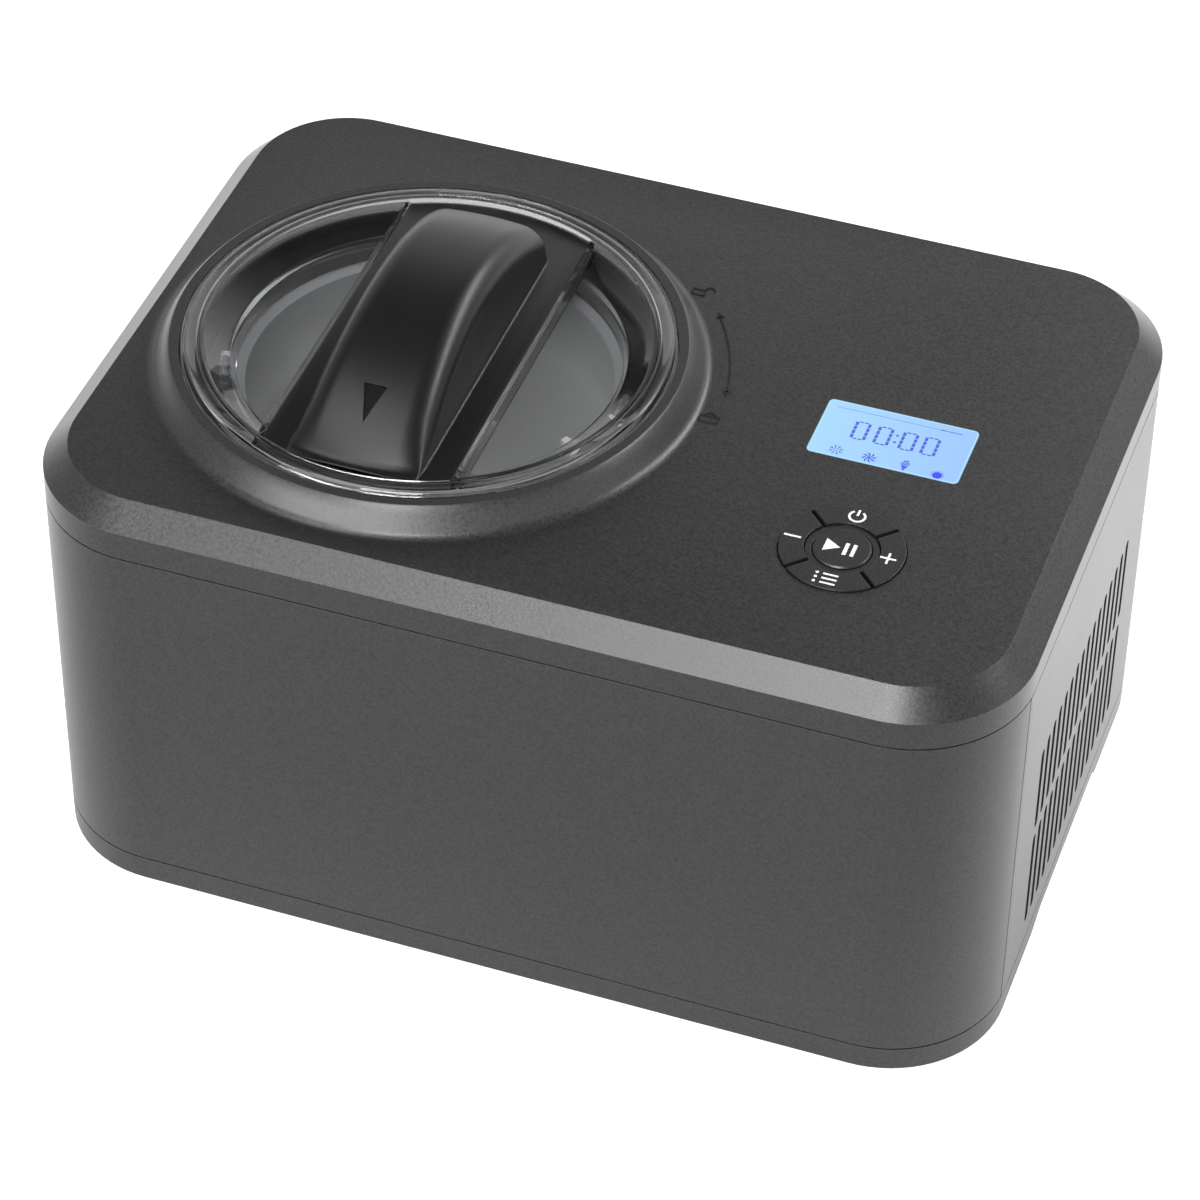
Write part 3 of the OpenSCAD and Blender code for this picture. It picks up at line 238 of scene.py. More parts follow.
def grained(name, colour, roughness, grain=0.0007, depth=0.00005, spread=0.10, edge=0.0, speckle=0.03,
            coat=0.0, shine=0.5):
    """Material with a fine grain: colour, roughness, relief and coat all vary with it."""
    material, tree, shader = new_material(name)
    fine = noise(tree, 1.0 / grain, 2.0, 0.55)
    broad = noise(tree, 14.0, 3.0)
    grain_colour = colour_between(tree, remap(tree, fine, 0.0, 1.0), shaded(colour, 1 - spread),
                                  shaded(colour, 1 + spread))
    grain_roughness = combined(tree, "ADD",
                               remap(tree, broad, roughness - ROUGHNESS_DRIFT, roughness + ROUGHNESS_DRIFT),
                               remap(tree, fine, -speckle, speckle))
    base = soft_edges(tree, edge) if edge else None
    tree.links.new(grain_colour, shader.inputs["Base Color"])
    tree.links.new(grain_roughness, shader.inputs["Roughness"])
    tree.links.new(bump(tree, fine, 0.5, depth, base), shader.inputs["Normal"])
    shader.inputs["Specular IOR Level"].default_value = shine
    if coat:
        tree.links.new(remap(tree, fine, coat * 0.6, coat * 1.35), shader.inputs["Coat Weight"])
        shader.inputs["Coat Roughness"].default_value = COAT_ROUGHNESS
    return material


def brushed(name, colour, roughness, along=(1.0, 1.0, 20.0)):
    """Metal with fine brush lines."""
    material, tree, shader = new_material(name)
    stretch = tree.nodes.new("ShaderNodeMapping")
    stretch.inputs["Scale"].default_value = along
    tree.links.new(object_coords(tree), stretch.inputs["Vector"])
    lines = tree.nodes.new("ShaderNodeTexNoise")
    lines.inputs["Scale"].default_value = 90.0
    lines.inputs["Detail"].default_value = 3.0
    tree.links.new(stretch.outputs["Vector"], lines.inputs["Vector"])
    tree.links.new(remap(tree, lines.outputs["Fac"], roughness - 0.07, roughness + 0.07),
                   shader.inputs["Roughness"])
    tree.links.new(colour_between(tree, lines.outputs["Fac"], shaded(colour, 0.86), colour),
                   shader.inputs["Base Color"])
    tree.links.new(bump(tree, lines.outputs["Fac"], 0.15, 0.00005), shader.inputs["Normal"])
    shader.inputs["Metallic"].default_value = 1.0
    return material


CLEAR_INDEX = 1.49
CLEAR_SHADOW = 0.90


def clear_plastic(name, tint, roughness):
    """Clear plastic that lets light through to what lies in its shadow."""
    material, tree, shader = new_material(name)
    cloud = noise(tree, 40.0, 2.0)
    tree.links.new(remap(tree, cloud, roughness * 0.6, roughness * 1.5), shader.inputs["Roughness"])
    tree.links.new(soft_edges(tree, 0.0004), shader.inputs["Normal"])
    tree.links.new(colour_between(tree, cloud, shaded(tint, 0.985), tint), shader.inputs["Base Color"])
    shader.inputs["Transmission Weight"].default_value = 1.0
    shader.inputs["IOR"].default_value = CLEAR_INDEX
    through = tree.nodes.new("ShaderNodeBsdfTransparent")
    through.inputs["Color"].default_value = (*shaded(tint, CLEAR_SHADOW), 1.0)
    path = tree.nodes.new("ShaderNodeLightPath")
    mix_to_output(tree, path.outputs["Is Shadow Ray"], shader.outputs["BSDF"], through.outputs["BSDF"])
    return material


# ---------- CAD pieces ----------

def smooth_shading():
    """Node group that joins split points and shades faces smooth across shallow edges."""
    group = bpy.data.node_groups.get("Smooth Moulding")
    if group:
        return group
    group = bpy.data.node_groups.new("Smooth Moulding", "GeometryNodeTree")
    group.is_modifier = True
    group.interface.new_socket("Geometry", in_out="INPUT", socket_type="NodeSocketGeometry")
    group.interface.new_socket("Geometry", in_out="OUTPUT", socket_type="NodeSocketGeometry")
    nodes, links = group.nodes, group.links
    entry = nodes.new("NodeGroupInput")
    leave = nodes.new("NodeGroupOutput")
    merge = nodes.new("GeometryNodeMergeByDistance")
    merge.inputs["Distance"].default_value = SPLIT_POINTS * MM
    smooth_faces = nodes.new("GeometryNodeSetShadeSmooth")
    smooth_faces.domain = "FACE"
    edge_angle = nodes.new("GeometryNodeInputMeshEdgeAngle")
    flat = nodes.new("FunctionNodeCompare")
    flat.data_type = "FLOAT"
    flat.operation = "LESS_THAN"
    flat.inputs["B"].default_value = SMOOTH_ANGLE
    smooth_edges = nodes.new("GeometryNodeSetShadeSmooth")
    smooth_edges.domain = "EDGE"
    links.new(entry.outputs[0], merge.inputs["Geometry"])
    links.new(merge.outputs["Geometry"], smooth_faces.inputs["Geometry"])
    links.new(smooth_faces.outputs["Geometry"], smooth_edges.inputs["Geometry"])
    links.new(edge_angle.outputs["Unsigned Angle"], flat.inputs["A"])
    links.new(flat.outputs["Result"], smooth_edges.inputs["Shade Smooth"])
    links.new(smooth_edges.outputs["Geometry"], leave.inputs[0])
    return group


def finish(material, *names):
    """Gives CAD pieces a material and smooth shading across their shallow edges."""
    for name in names:
        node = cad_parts[name]
        node.data.materials.clear()
        node.data.materials.append(material)
        modifier = node.modifiers.new("Smooth", "NODES")
        modifier.node_group = smooth_shading()


def piece(name, mesh, material, body):
    """Adds a mesh to the scene as a piece that rides on a body."""
    obj = bpy.data.objects.new(name, mesh)
    bpy.context.scene.collection.objects.link(obj)
    mesh.materials.append(material)
    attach(obj, body)
    return obj


# ---------- flat markings ----------

CAP_STEPS = 8


class Stencil:
    """Collects flat outlines, in millimetres, and raises them into one thin mesh."""

    def __init__(self):
        self.shapes = []
        self.x, self.y = 0.0, 0.0

    def at(self, x, y):
        """Sets the place that the next outlines are measured from."""
        self.x, self.y = x, y
        return self

    def outline(self, points):
        self.shapes.append([(self.x + px, self.y + py) for px, py in points])
        return self

    def bar(self, a, b, width, round_ends=False):
        (ax, ay), (bx, by) = a, b
        length = math.hypot(bx - ax, by - ay)
        ux, uy = (bx - ax) / length, (by - ay) / length
        nx, ny = -uy * width / 2, ux * width / 2
        if not round_ends:
            return self.outline([(ax + nx, ay + ny), (ax - nx, ay - ny),
                                 (bx - nx, by - ny), (bx + nx, by + ny)])
        points = []
        side = math.atan2(ny, nx)
        for cx, cy, start in ((ax, ay, side), (bx, by, side + math.pi)):
            for i in range(CAP_STEPS + 1):
                turn = start + math.pi * i / CAP_STEPS
                points.append((cx + width / 2 * math.cos(turn), cy + width / 2 * math.sin(turn)))
        return self.outline(points)

    def arc(self, cx, cy, radius, start, end, width, steps=28):
        inner, outer = radius - width / 2, radius + width / 2
        for i in range(steps):
            a, b = (math.radians(start + (end - start) * k / steps) for k in (i, i + 1))
            self.outline([(cx + inner * math.cos(a), cy + inner * math.sin(a)),
                          (cx + outer * math.cos(a), cy + outer * math.sin(a)),
                          (cx + outer * math.cos(b), cy + outer * math.sin(b)),
                          (cx + inner * math.cos(b), cy + inner * math.sin(b))])
        return self

    def disc(self, cx, cy, radius, steps=24):
        return self.outline([(cx + radius * math.cos(2 * math.pi * i / steps),
                              cy + radius * math.sin(2 * math.pi * i / steps)) for i in range(steps)])

    def mesh(self, name, z, thickness):
        """Each outline becomes a closed slab from z up, in millimetres."""
        build = bmesh.new()
        for shape in self.shapes:
            area = sum(a[0] * b[1] - b[0] * a[1] for a, b in zip(shape, shape[1:] + shape[:1]))
            points = shape if area > 0 else shape[::-1]
            low = [build.verts.new((x * MM, y * MM, z * MM)) for x, y in points]
            high = [build.verts.new((x * MM, y * MM, (z + thickness) * MM)) for x, y in points]
            build.faces.new(high)
            build.faces.new(low[::-1])
            for i in range(len(points)):
                j = (i + 1) % len(points)
                build.faces.new((low[i], low[j], high[j], high[i]))
        bmesh.ops.remove_doubles(build, verts=build.verts, dist=1e-7)
        mesh = bpy.data.meshes.new(name)
        build.to_mesh(mesh)
        build.free()
        return mesh


# ---------- operators ----------

class ICECREAM_OT_housing(bpy.types.Operator):
    """Finish the top cover, walls and base"""
    bl_idname = "icecream.housing"
    bl_label = "Housing"

    def paint_throat_shade(self, material):
        """Paints shade inside the lid's seat, where the moulding turns plain deep black."""
        tree = material.node_tree
        x, y = split_axes(tree, object_coords(tree))[:2]
        flat = tree.nodes.new("ShaderNodeCombineXYZ")
        tree.links.new(x, flat.inputs["X"])
        tree.links.new(y, flat.inputs["Y"])
        reach = tree.nodes.new("ShaderNodeVectorMath")
        reach.operation = "DISTANCE"
        reach.inputs[1].default_value = (LID_X * MM, LID_Y * MM, 0.0)
        tree.links.new(flat.outputs["Vector"], reach.inputs[0])
        # Mask of the painted shade: full inside the lid's seat, fading to none across its edge.
        inside = remap(tree, reach.outputs["Value"], 1.0, 0.0, (THROAT_R - THROAT_FADE) * MM,
                       (THROAT_R + THROAT_FADE) * MM)
        # Plain deep black that stands in for the shade under the lid.
        black = tree.nodes.new("ShaderNodeBsdfPrincipled")
        black.inputs["Base Color"].default_value = (0.004, 0.004, 0.004, 1.0)
        black.inputs["Roughness"].default_value = 0.4
        black.inputs["Specular IOR Level"].default_value = 0.2
        outer = output_of(tree).inputs["Surface"].links[0].from_socket
        mix_to_output(tree, inside, outer, black.outputs["BSDF"])

    def execute(self, context):
        look = context.scene.icecream_housing
        satin = grained("Satin housing plastic", look.colour, look.roughness, look.grain, look.grain_depth,
                        edge=0.0004, speckle=0.10, coat=0.7)
        finish(satin, "front_shell", "right_panel", "left_panel", "rear_panel", "base_tray")
        cover = satin.copy()
        cover.name = "Top cover plastic"
        # The top cover gets painted shade inside the lid's seat.
        self.paint_throat_shade(cover)
        finish(cover, "top_cover")
        rubber = grained("Foot rubber", (0.012, 0.012, 0.012), 0.75, 0.0009, 0.00008)
        finish(rubber, "rubber_feet", "cord_gland")
        steel = brushed("Screw steel", (0.62, 0.62, 0.60), 0.33)
        finish(steel, "base_screws", "handle_screws", "gearbox_screws", "compressor_bolts")
        return {"FINISHED"}


# Place of each padlock, the sides of its body and the middle of its shackle: first open, then closed.
PADLOCKS = (((15.2, 63.8), -4.3, 0.7, 2.2), ((41.2, -8.3), -3.6, 3.6, 0.0))
LOCK_LOW, LOCK_HIGH, LOCK_OVERHANG, LOCK_LINE = -2.4, 0.8, 0.3, 0.7
SHACKLE_R, SHACKLE_Y, SHACKLE_FOOT = 1.8, 1.2, 1.3
TURN_R, TURN_LINE, TURN_START, TURN_END = 113.5, 0.8, 9.5, 33.0
ARROW_TIPS, ARROW_LENGTH, ARROW_HALF = ((8.2, -1), (34.2, 1)), 1.7, 1.7
MARK_SINK, MARK_THICKNESS = 0.02, 0.3


class ICECREAM_OT_lock_marks(bpy.types.Operator):
    """Raise the open and closed padlocks and the turning arrow beside the lid"""
    bl_idname = "icecream.lock_marks"
    bl_label = "Lock Marks"

    def padlock(self, marks, left, right, shackle):
        """Outlined body with a shackle, which is centred on it or swung to one side."""
        for y in (LOCK_LOW, LOCK_HIGH):
            marks.bar((left, y), (right, y), LOCK_LINE)
        for x in (left, right):
            marks.bar((x, LOCK_LOW - LOCK_OVERHANG), (x, LOCK_HIGH + LOCK_OVERHANG), LOCK_LINE)
        marks.arc(shackle, SHACKLE_Y, SHACKLE_R, 0, 180, LOCK_LINE, 12)
        for x in (shackle - SHACKLE_R, shackle + SHACKLE_R):
            marks.bar((x, LOCK_HIGH), (x, SHACKLE_FOOT), LOCK_LINE)

    def arrow_head(self, marks, angle, way):
        """Triangle at the end of the turning arrow; its base lies back along the arc."""
        base = math.radians(angle - way * ARROW_LENGTH)
        tip = math.radians(angle)
        marks.outline([(radius * math.cos(turn), radius * math.sin(turn)) for radius, turn in
                       ((TURN_R, tip), (TURN_R + ARROW_HALF, base), (TURN_R - ARROW_HALF, base))])

    def execute(self, context):
        look = context.scene.icecream_housing
        marks = Stencil()
        for place, left, right, shackle in PADLOCKS:
            self.padlock(marks.at(*place), left, right, shackle)
        marks.at(LID_X, LID_Y).arc(0.0, 0.0, TURN_R, TURN_START, TURN_END, TURN_LINE, 40)
        for angle, way in ARROW_TIPS:
            self.arrow_head(marks, angle, way)
        raised = grained("Raised mark", shaded(look.colour, 0.8), look.roughness - 0.06, look.grain,
                         0.00002)
        mesh = marks.mesh("lock_marks", FLAT_TOP - MARK_SINK, MARK_THICKNESS)
        piece("lock_marks", mesh, raised, "housing")
        return {"FINISHED"}


class ICECREAM_OT_lid(bpy.types.Operator):
    """Finish the clear lid and its seal"""
    bl_idname = "icecream.lid"
    bl_label = "Clear Lid"

    def execute(self, context):
        look = context.scene.icecream_lid
        finish(clear_plastic("Clear lid plastic", look.tint, 0.012), "lid_window")
        seal = grained("Seal silicone", (0.10, 0.10, 0.10), 0.5, 0.0012, 0.00005)
        finish(seal, "lid_seal", "drum_gasket")
        return {"FINISHED"}


GRIP_REACH, GRIP_BLUNT, GRIP_ROUND = 82.0, 66.0, 4.0
GRIP_TOP, GRIP_BASE, GRIP_RISE, GRIP_EDGE, GRIP_FILLET = 45.0, 51.0, 30.0, 10.0, 1.0
GRIP_SINK, GRIP_LEAST, GRIP_SHARE = 0.6, 1.2, 0.7
PLATE_TOP, PLATE_T, PLATE_HALF, PLATE_END = 200.5, 2.5, 37.0, 84.7
PLATE_LOW, PLATE_WALL, PLATE_EDGE = 194.0, 2.0, 0.4
BOW_R = PLATE_END - 0.3
POINTER_BASE, POINTER_LENGTH, POINTER_HALF, POINTER_DEPTH = -53.5, 13.5, 4.6, 0.7
FILLET_STEPS, SIDE_STEPS, EDGE_STEPS, TOP_STEPS, BLUNT_STEPS, POINTER_STEPS = 4, 6, 15, 8, 12, 16


def arch(y):
    """Rise of the grip at a distance from its middle, a circular arch."""
    radius = (GRIP_REACH ** 2 + GRIP_RISE ** 2) / (2 * GRIP_RISE)
    return max(math.sqrt(radius ** 2 - y * y) - radius + GRIP_RISE, GRIP_LEAST)


def grip_section(y):
    """Right half of the grip's section, from its foot to its middle."""
    past = max(0.0, y - GRIP_BLUNT + GRIP_ROUND)
    inset = GRIP_ROUND - math.sqrt(max(0.0, GRIP_ROUND ** 2 - past ** 2))
    rise = arch(y) - inset
    edge_h = min(GRIP_EDGE, rise * GRIP_SHARE)
    foot = GRIP_BASE / 2 - inset
    top_half = foot - (GRIP_BASE - GRIP_TOP) / 2 / (GRIP_RISE - GRIP_EDGE) * (rise - edge_h)
    fillet = min(GRIP_FILLET, (rise - edge_h) * GRIP_SHARE)
    points = [(foot + fillet, -GRIP_SINK)]
    for i in range(FILLET_STEPS + 1):
        a = math.radians(270 - 90 * i / FILLET_STEPS)
        points.append((foot + fillet * (1 + math.cos(a)), fillet * (1 + math.sin(a))))
    for i in range(1, SIDE_STEPS):
        t = i / SIDE_STEPS
        points.append((foot + (top_half - foot) * t, fillet + (rise - edge_h - fillet) * t))
    for i in range(EDGE_STEPS + 1):
        a = math.radians(90 * i / EDGE_STEPS)
        points.append((top_half - GRIP_EDGE + GRIP_EDGE * math.cos(a),
                       rise - edge_h + edge_h * math.sin(a)))
    for i in range(1, TOP_STEPS):
        points.append(((top_half - GRIP_EDGE) * (1 - i / TOP_STEPS), rise))
    return points


def bowed(x, y):
    """Bends a place along the grip to the round end of the plate."""
    return y * math.sqrt(BOW_R ** 2 - x * x) / BOW_R


def strip_points(half, end_r, steps=24):
    """Outline of a strip across the lid whose ends are arcs about its centre."""
    limit = math.asin(half / end_r)
    turns = [limit - 2 * limit * i / steps for i in range(steps + 1)]
    far = [(end_r * math.sin(turn), end_r * math.cos(turn)) for turn in turns]
    return far + [(-x, -y) for x, y in far]


def ring(build, places):
    """Points of a mesh, given in millimetres from the lid's axis and the floor."""
    return [build.verts.new(((LID_X + x) * MM, (LID_Y + y) * MM, z * MM)) for x, y, z in places]


def bridge(build, a, b):
    """Closed band of faces between two rings."""
    for i in range(len(a)):
        j = (i + 1) % len(a)
        build.faces.new((a[i], b[i], b[j], a[j]))


class ICECREAM_OT_handle(bpy.types.Operator):
    """Build the black plate and arched grip across the lid"""
    bl_idname = "icecream.handle"
    bl_label = "Lid Handle"

    def plate(self, build):
        """Strip with a small rounded upper edge, hollow from below."""
        steps = ((0.0, PLATE_LOW), (0.0, PLATE_TOP - PLATE_EDGE),
                 (PLATE_EDGE * 0.3, PLATE_TOP - PLATE_EDGE * 0.3), (PLATE_EDGE, PLATE_TOP))
        rings = [ring(build, [(x, y, z) for x, y in strip_points(PLATE_HALF - inset, PLATE_END - inset)])
                 for inset, z in steps]
        for a, b in zip(rings, rings[1:]):
            bridge(build, a, b)
        build.faces.new(rings[-1][::-1])
        hollow = strip_points(PLATE_HALF - PLATE_WALL, PLATE_END - PLATE_WALL)
        mouth, roof = (ring(build, [(x, y, z) for x, y in hollow])
                       for z in (PLATE_LOW, PLATE_TOP - PLATE_T))
        bridge(build, rings[0], mouth)
        bridge(build, mouth, roof)
        build.faces.new(roof)

    def grip(self, build, stations):
        """Arched loft whose low end runs out along the plate and whose far end is blunt."""
        straight = BOW_R + GRIP_BLUNT - GRIP_ROUND
        places = [-BOW_R + straight * i / stations for i in range(stations + 1)]
        for i in range(1, BLUNT_STEPS + 1):
            a = math.radians(90 * i / BLUNT_STEPS)
            places.append(GRIP_BLUNT - GRIP_ROUND * (1 - math.sin(a)))
        rows = []
        for y in places:
            half = grip_section(y)
            section = half + [(0.0, half[-1][1])] + [(-x, z) for x, z in half[::-1]]
            rows.append(ring(build, [(x, bowed(x, y), PLATE_TOP + z) for x, z in section]))
        for a, b in zip(rows, rows[1:]):
            bridge(build, a, b)
        middle = len(rows[0]) // 2
        for row in (rows[0], rows[-1]):
            for i in range(middle - 1):
                build.faces.new((row[i], row[i + 1], row[-i - 2], row[-i - 1]))
            build.faces.new(row[middle - 1:middle + 2])

    def pointer(self, build):
        """Shallow three-cornered recess whose floor follows the arch."""
        rows = []
        for i in range(POINTER_STEPS + 1):
            t = i / POINTER_STEPS
            y = POINTER_BASE - POINTER_LENGTH * t
            half = max(POINTER_HALF * (1 - t), 0.06)
            low = PLATE_TOP + arch(y) - POINTER_DEPTH
            high = PLATE_TOP + arch(y) + 3
            rows.append(ring(build, [(-half, y, low), (half, y, low), (half, y, high), (-half, y, high)]))
        for a, b in zip(rows, rows[1:]):
            bridge(build, a, b)
        build.faces.new(rows[0])
        build.faces.new(rows[-1][::-1])

    def meshed(self, name, make, material):
        build = bmesh.new()
        make(build)
        bmesh.ops.recalc_face_normals(build, faces=build.faces)
        mesh = bpy.data.meshes.new(name)
        build.to_mesh(mesh)
        build.free()
        mesh.materials.append(material)
        return mesh

    def cut(self, mesh, cutter_mesh, name):
        """Mesh of the first with the second taken away."""
        body = bpy.data.objects.new("cut_body", mesh)
        cutter = bpy.data.objects.new("cut_tool", cutter_mesh)
        for obj in (body, cutter):
            bpy.context.scene.collection.objects.link(obj)
        modifier = body.modifiers.new("Cut", "BOOLEAN")
        modifier.object = cutter
        modifier.operation = "DIFFERENCE"
        modifier.solver = "EXACT"
        modifier.material_mode = "TRANSFER"
        bpy.context.view_layer.update()
        shaped = body.evaluated_get(bpy.context.evaluated_depsgraph_get())
        result = bpy.data.meshes.new_from_object(shaped)
        result.name = name
        for obj in (body, cutter):
            bpy.data.objects.remove(obj)
        return result

    def soften(self, mesh):
        """Shades the mesh smooth but for its sharp edges."""
        build = bmesh.new()
        build.from_mesh(mesh)
        for face in build.faces:
            face.smooth = True
        for edge in build.edges:
            edge.smooth = len(edge.link_faces) == 2 and edge.calc_face_angle(0.0) < HANDLE_SMOOTH_ANGLE
        build.to_mesh(mesh)
        build.free()

    def execute(self, context):
        look = context.scene.icecream_lid
        black = grained("Handle plastic", look.handle_colour, look.handle_roughness, 0.0007, 0.00004,
                        edge=0.0003, speckle=0.04)
        deep = grained("Pointer black", look.handle_colour, 0.5, 0.0010, 0.00001, shine=0.1)
        plate = self.meshed("handle_plate", self.plate, black)
        grip = self.meshed("grip_whole", lambda build: self.grip(build, look.stations), black)
        grip = self.cut(grip, self.meshed("pointer_tool", self.pointer, deep), "handle_grip")
        for mesh in (plate, grip):
            self.soften(mesh)
            obj = bpy.data.objects.new(mesh.name, mesh)
            context.scene.collection.objects.link(obj)
            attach(obj, "lid")
            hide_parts("lid_handle")
        return {"FINISHED"}


DIGIT_COLUMNS, DIGIT_FOOT, DIGIT_WIDTH = (93.2, 102.0, 111.6, 120.05), -1.2, 6.0
SIDE_LINE, SIDE_STROKES, END_LINE, STROKE_GAP = 1.15, 4, 0.6, 0.42
COLON_X, COLON_ROWS, COLON_DOT = 109.85, (2.0, 6.0), 1.0
FROST_PLACE, FROST_ARMS, FROST_REACH = (90.8, -9.6), 8, 3.0
PINWHEEL_PLACE, PINWHEEL_BLADES, PINWHEEL_REACH = (103.55, -9.7), 8, 3.1
BLADE = ((0.3, 0.0), (1.4, -0.12), (2.3, 0.05), (PINWHEEL_REACH, 0.45), (2.2, 0.38), (1.3, 0.28))
CONE_PLACE, CONE_TURNS = (117.2, -9.5), ((0.5, 1.5), (1.5, 1.15), (2.5, 0.7))
DOT_PLACE, DOT_R, DOT_RING_R = (130.0, -10.9), 1.9, 2.4
RULE_Y, RULE_FAINT, RULE_STRONG = 14.8, (83.9, 126.0), (124.0, 132.5)
BORDER_INSET, BORDER_LINE, BORDER_R = 0.35, 0.35, 1.5
INK_THICKNESS = 0.04
PALE_LIGHT = (0.42, 0.72, 0.98)
GLASS_DARK = (0.02, 0.04, 0.06)


class ICECREAM_OT_display(bpy.types.Operator):
    """Light the display and draw its digits and symbols"""
    bl_idname = "icecream.display"
    bl_label = "Display"

    def glass(self, look):
        """Lit glass that grows paler to the left."""
        material, tree, shader = new_material("Lit display glass")
        ramp = tree.nodes.new("ShaderNodeTexGradient")
        place = tree.nodes.new("ShaderNodeMapping")
        place.inputs["Location"].default_value = (-1.35, 0.0, 0.0)
        place.inputs["Scale"].default_value = (17.2, 1.0, 1.0)
        tree.links.new(object_coords(tree), place.inputs["Vector"])
        tree.links.new(place.outputs["Vector"], ramp.inputs["Vector"])
        tree.links.new(colour_between(tree, ramp.outputs["Fac"], PALE_LIGHT, look.backlight),
                       shader.inputs["Emission Color"])
        shader.inputs["Emission Strength"].default_value = look.glow
        tree.links.new(colour_between(tree, noise(tree, 60.0), GLASS_DARK, (0.03, 0.05, 0.08)),
                       shader.inputs["Base Color"])
        tree.links.new(remap(tree, noise(tree, 200.0), 0.10, 0.16), shader.inputs["Roughness"])
        tree.links.new(bump(tree, noise(tree, 30.0), 0.02, 0.0001), shader.inputs["Normal"])
        return material

    def edge_glow(self, look):
        """Brighter light of the thin frame at the window's edge."""
        material, tree, shader = new_material("Display edge glow")
        tree.links.new(colour_between(tree, noise(tree, 90.0), (0.36, 0.74, 0.96), (0.56, 0.92, 1.0)),
                       shader.inputs["Emission Color"])
        shader.inputs["Base Color"].default_value = (*GLASS_DARK, 1.0)
        shader.inputs["Emission Strength"].default_value = look.glow
        return material

    def digit(self, ink, x, height):
        """An upright zero whose sides are rows of short strokes."""
        step = (height - END_LINE) / SIDE_STROKES
        for side in (x + SIDE_LINE / 2, x + DIGIT_WIDTH - SIDE_LINE / 2):
            for i in range(SIDE_STROKES):
                low = DIGIT_FOOT + END_LINE / 2 + step * i
                ink.bar((side, low + STROKE_GAP / 2), (side, low + step - STROKE_GAP / 2), SIDE_LINE)
        middle = x + DIGIT_WIDTH / 2
        for y in (DIGIT_FOOT + END_LINE / 2, DIGIT_FOOT + height - END_LINE / 2):
            ink.bar((x + SIDE_LINE + 0.1, y), (middle - STROKE_GAP / 2, y), END_LINE)
            ink.bar((middle + STROKE_GAP / 2, y), (x + DIGIT_WIDTH - SIDE_LINE - 0.1, y), END_LINE)

    def frost(self, ink):
        """Star of arms, each with a fork near its tip."""
        ink.at(*FROST_PLACE)
        for i in range(FROST_ARMS):
            a = 2 * math.pi * (i + 0.5) / FROST_ARMS
            ux, uy = math.cos(a), math.sin(a)
            ink.bar((0.5 * ux, 0.5 * uy), (FROST_REACH * ux, FROST_REACH * uy), 0.32)
            for side in (-0.6, 0.6):
                ink.bar((1.7 * ux, 1.7 * uy), (2.3 * ux - side * uy, 2.3 * uy + side * ux), 0.3)

    def pinwheel(self, ink):
        """Fan of curved blades that meet in the middle."""
        ink.at(*PINWHEEL_PLACE).disc(0.0, 0.0, 0.6, 12)
        for i in range(PINWHEEL_BLADES):
            a = 2 * math.pi * i / PINWHEEL_BLADES
            ink.outline([(r * math.cos(a + turn), r * math.sin(a + turn)) for r, turn in BLADE])

    def cone(self, ink):
        """Cone with three turns of ice cream on it."""
        ink.at(*CONE_PLACE).outline([(-1.3, -0.2), (1.3, -0.2), (0.0, -3.4)])
        for level, half in CONE_TURNS:
            ink.bar((-half, level - 0.15), (half, level + 0.15), 0.62, round_ends=True)

    def border(self, ink):
        """Thin frame inside the window's outline."""
        low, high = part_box("lcd_lens")
        left, front = low.x / MM + BORDER_INSET, low.y / MM + BORDER_INSET
        right, back = high.x / MM - BORDER_INSET, high.y / MM - BORDER_INSET
        near, far = front + BORDER_R, back - BORDER_R
        west, east = left + BORDER_R, right - BORDER_R
        for a, b in (((west, front), (east, front)), ((right, near), (right, far)),
                     ((east, back), (west, back)), ((left, far), (left, near))):
            ink.bar(a, b, BORDER_LINE)
        for x, y, start in ((east, far, 0), (west, far, 90), (west, near, 180), (east, near, 270)):
            ink.arc(x, y, BORDER_R, start, start + 90, BORDER_LINE, 8)

    def execute(self, context):
        look = context.scene.icecream_display
        finish(self.glass(look), "lcd_lens")
        digits, faint, strong, edge = Stencil(), Stencil(), Stencil(), Stencil()
        for x in DIGIT_COLUMNS:
            self.digit(digits, x, look.digit_height / MM)
        for y in COLON_ROWS:
            digits.bar((COLON_X - COLON_DOT / 2, y), (COLON_X + COLON_DOT / 2, y), COLON_DOT)
        self.frost(faint)
        self.pinwheel(digits)
        self.cone(digits)
        faint.at(*DOT_PLACE).arc(0.0, 0.0, DOT_RING_R, -20, 200, 0.3, 24)
        strong.at(*DOT_PLACE).disc(0.0, 0.0, DOT_R)
        for ink, (start, end), line in ((faint, RULE_FAINT, 0.3), (digits, RULE_STRONG, 0.35)):
            ink.at(0.0, 0.0).bar((start, RULE_Y), (end, RULE_Y), line)
        self.border(edge)
        inks = {"digits": (digits, grained("Display ink", look.digit_colour, 0.35, 0.0004, 0.00001)),
                "faint": (faint, grained("Faint ink", (0.16, 0.24, 0.62), 0.35, 0.0004, 0.00001)),
                "dot": (strong, grained("Strong ink", (0.05, 0.06, 0.80), 0.35, 0.0004, 0.00001)),
                "edge": (edge, self.edge_glow(look))}
        for name, (ink, material) in inks.items():
            mesh = ink.mesh("display_" + name, FLAT_TOP, INK_THICKNESS)
            piece("display_" + name, mesh, material, "housing")
        return {"FINISHED"}


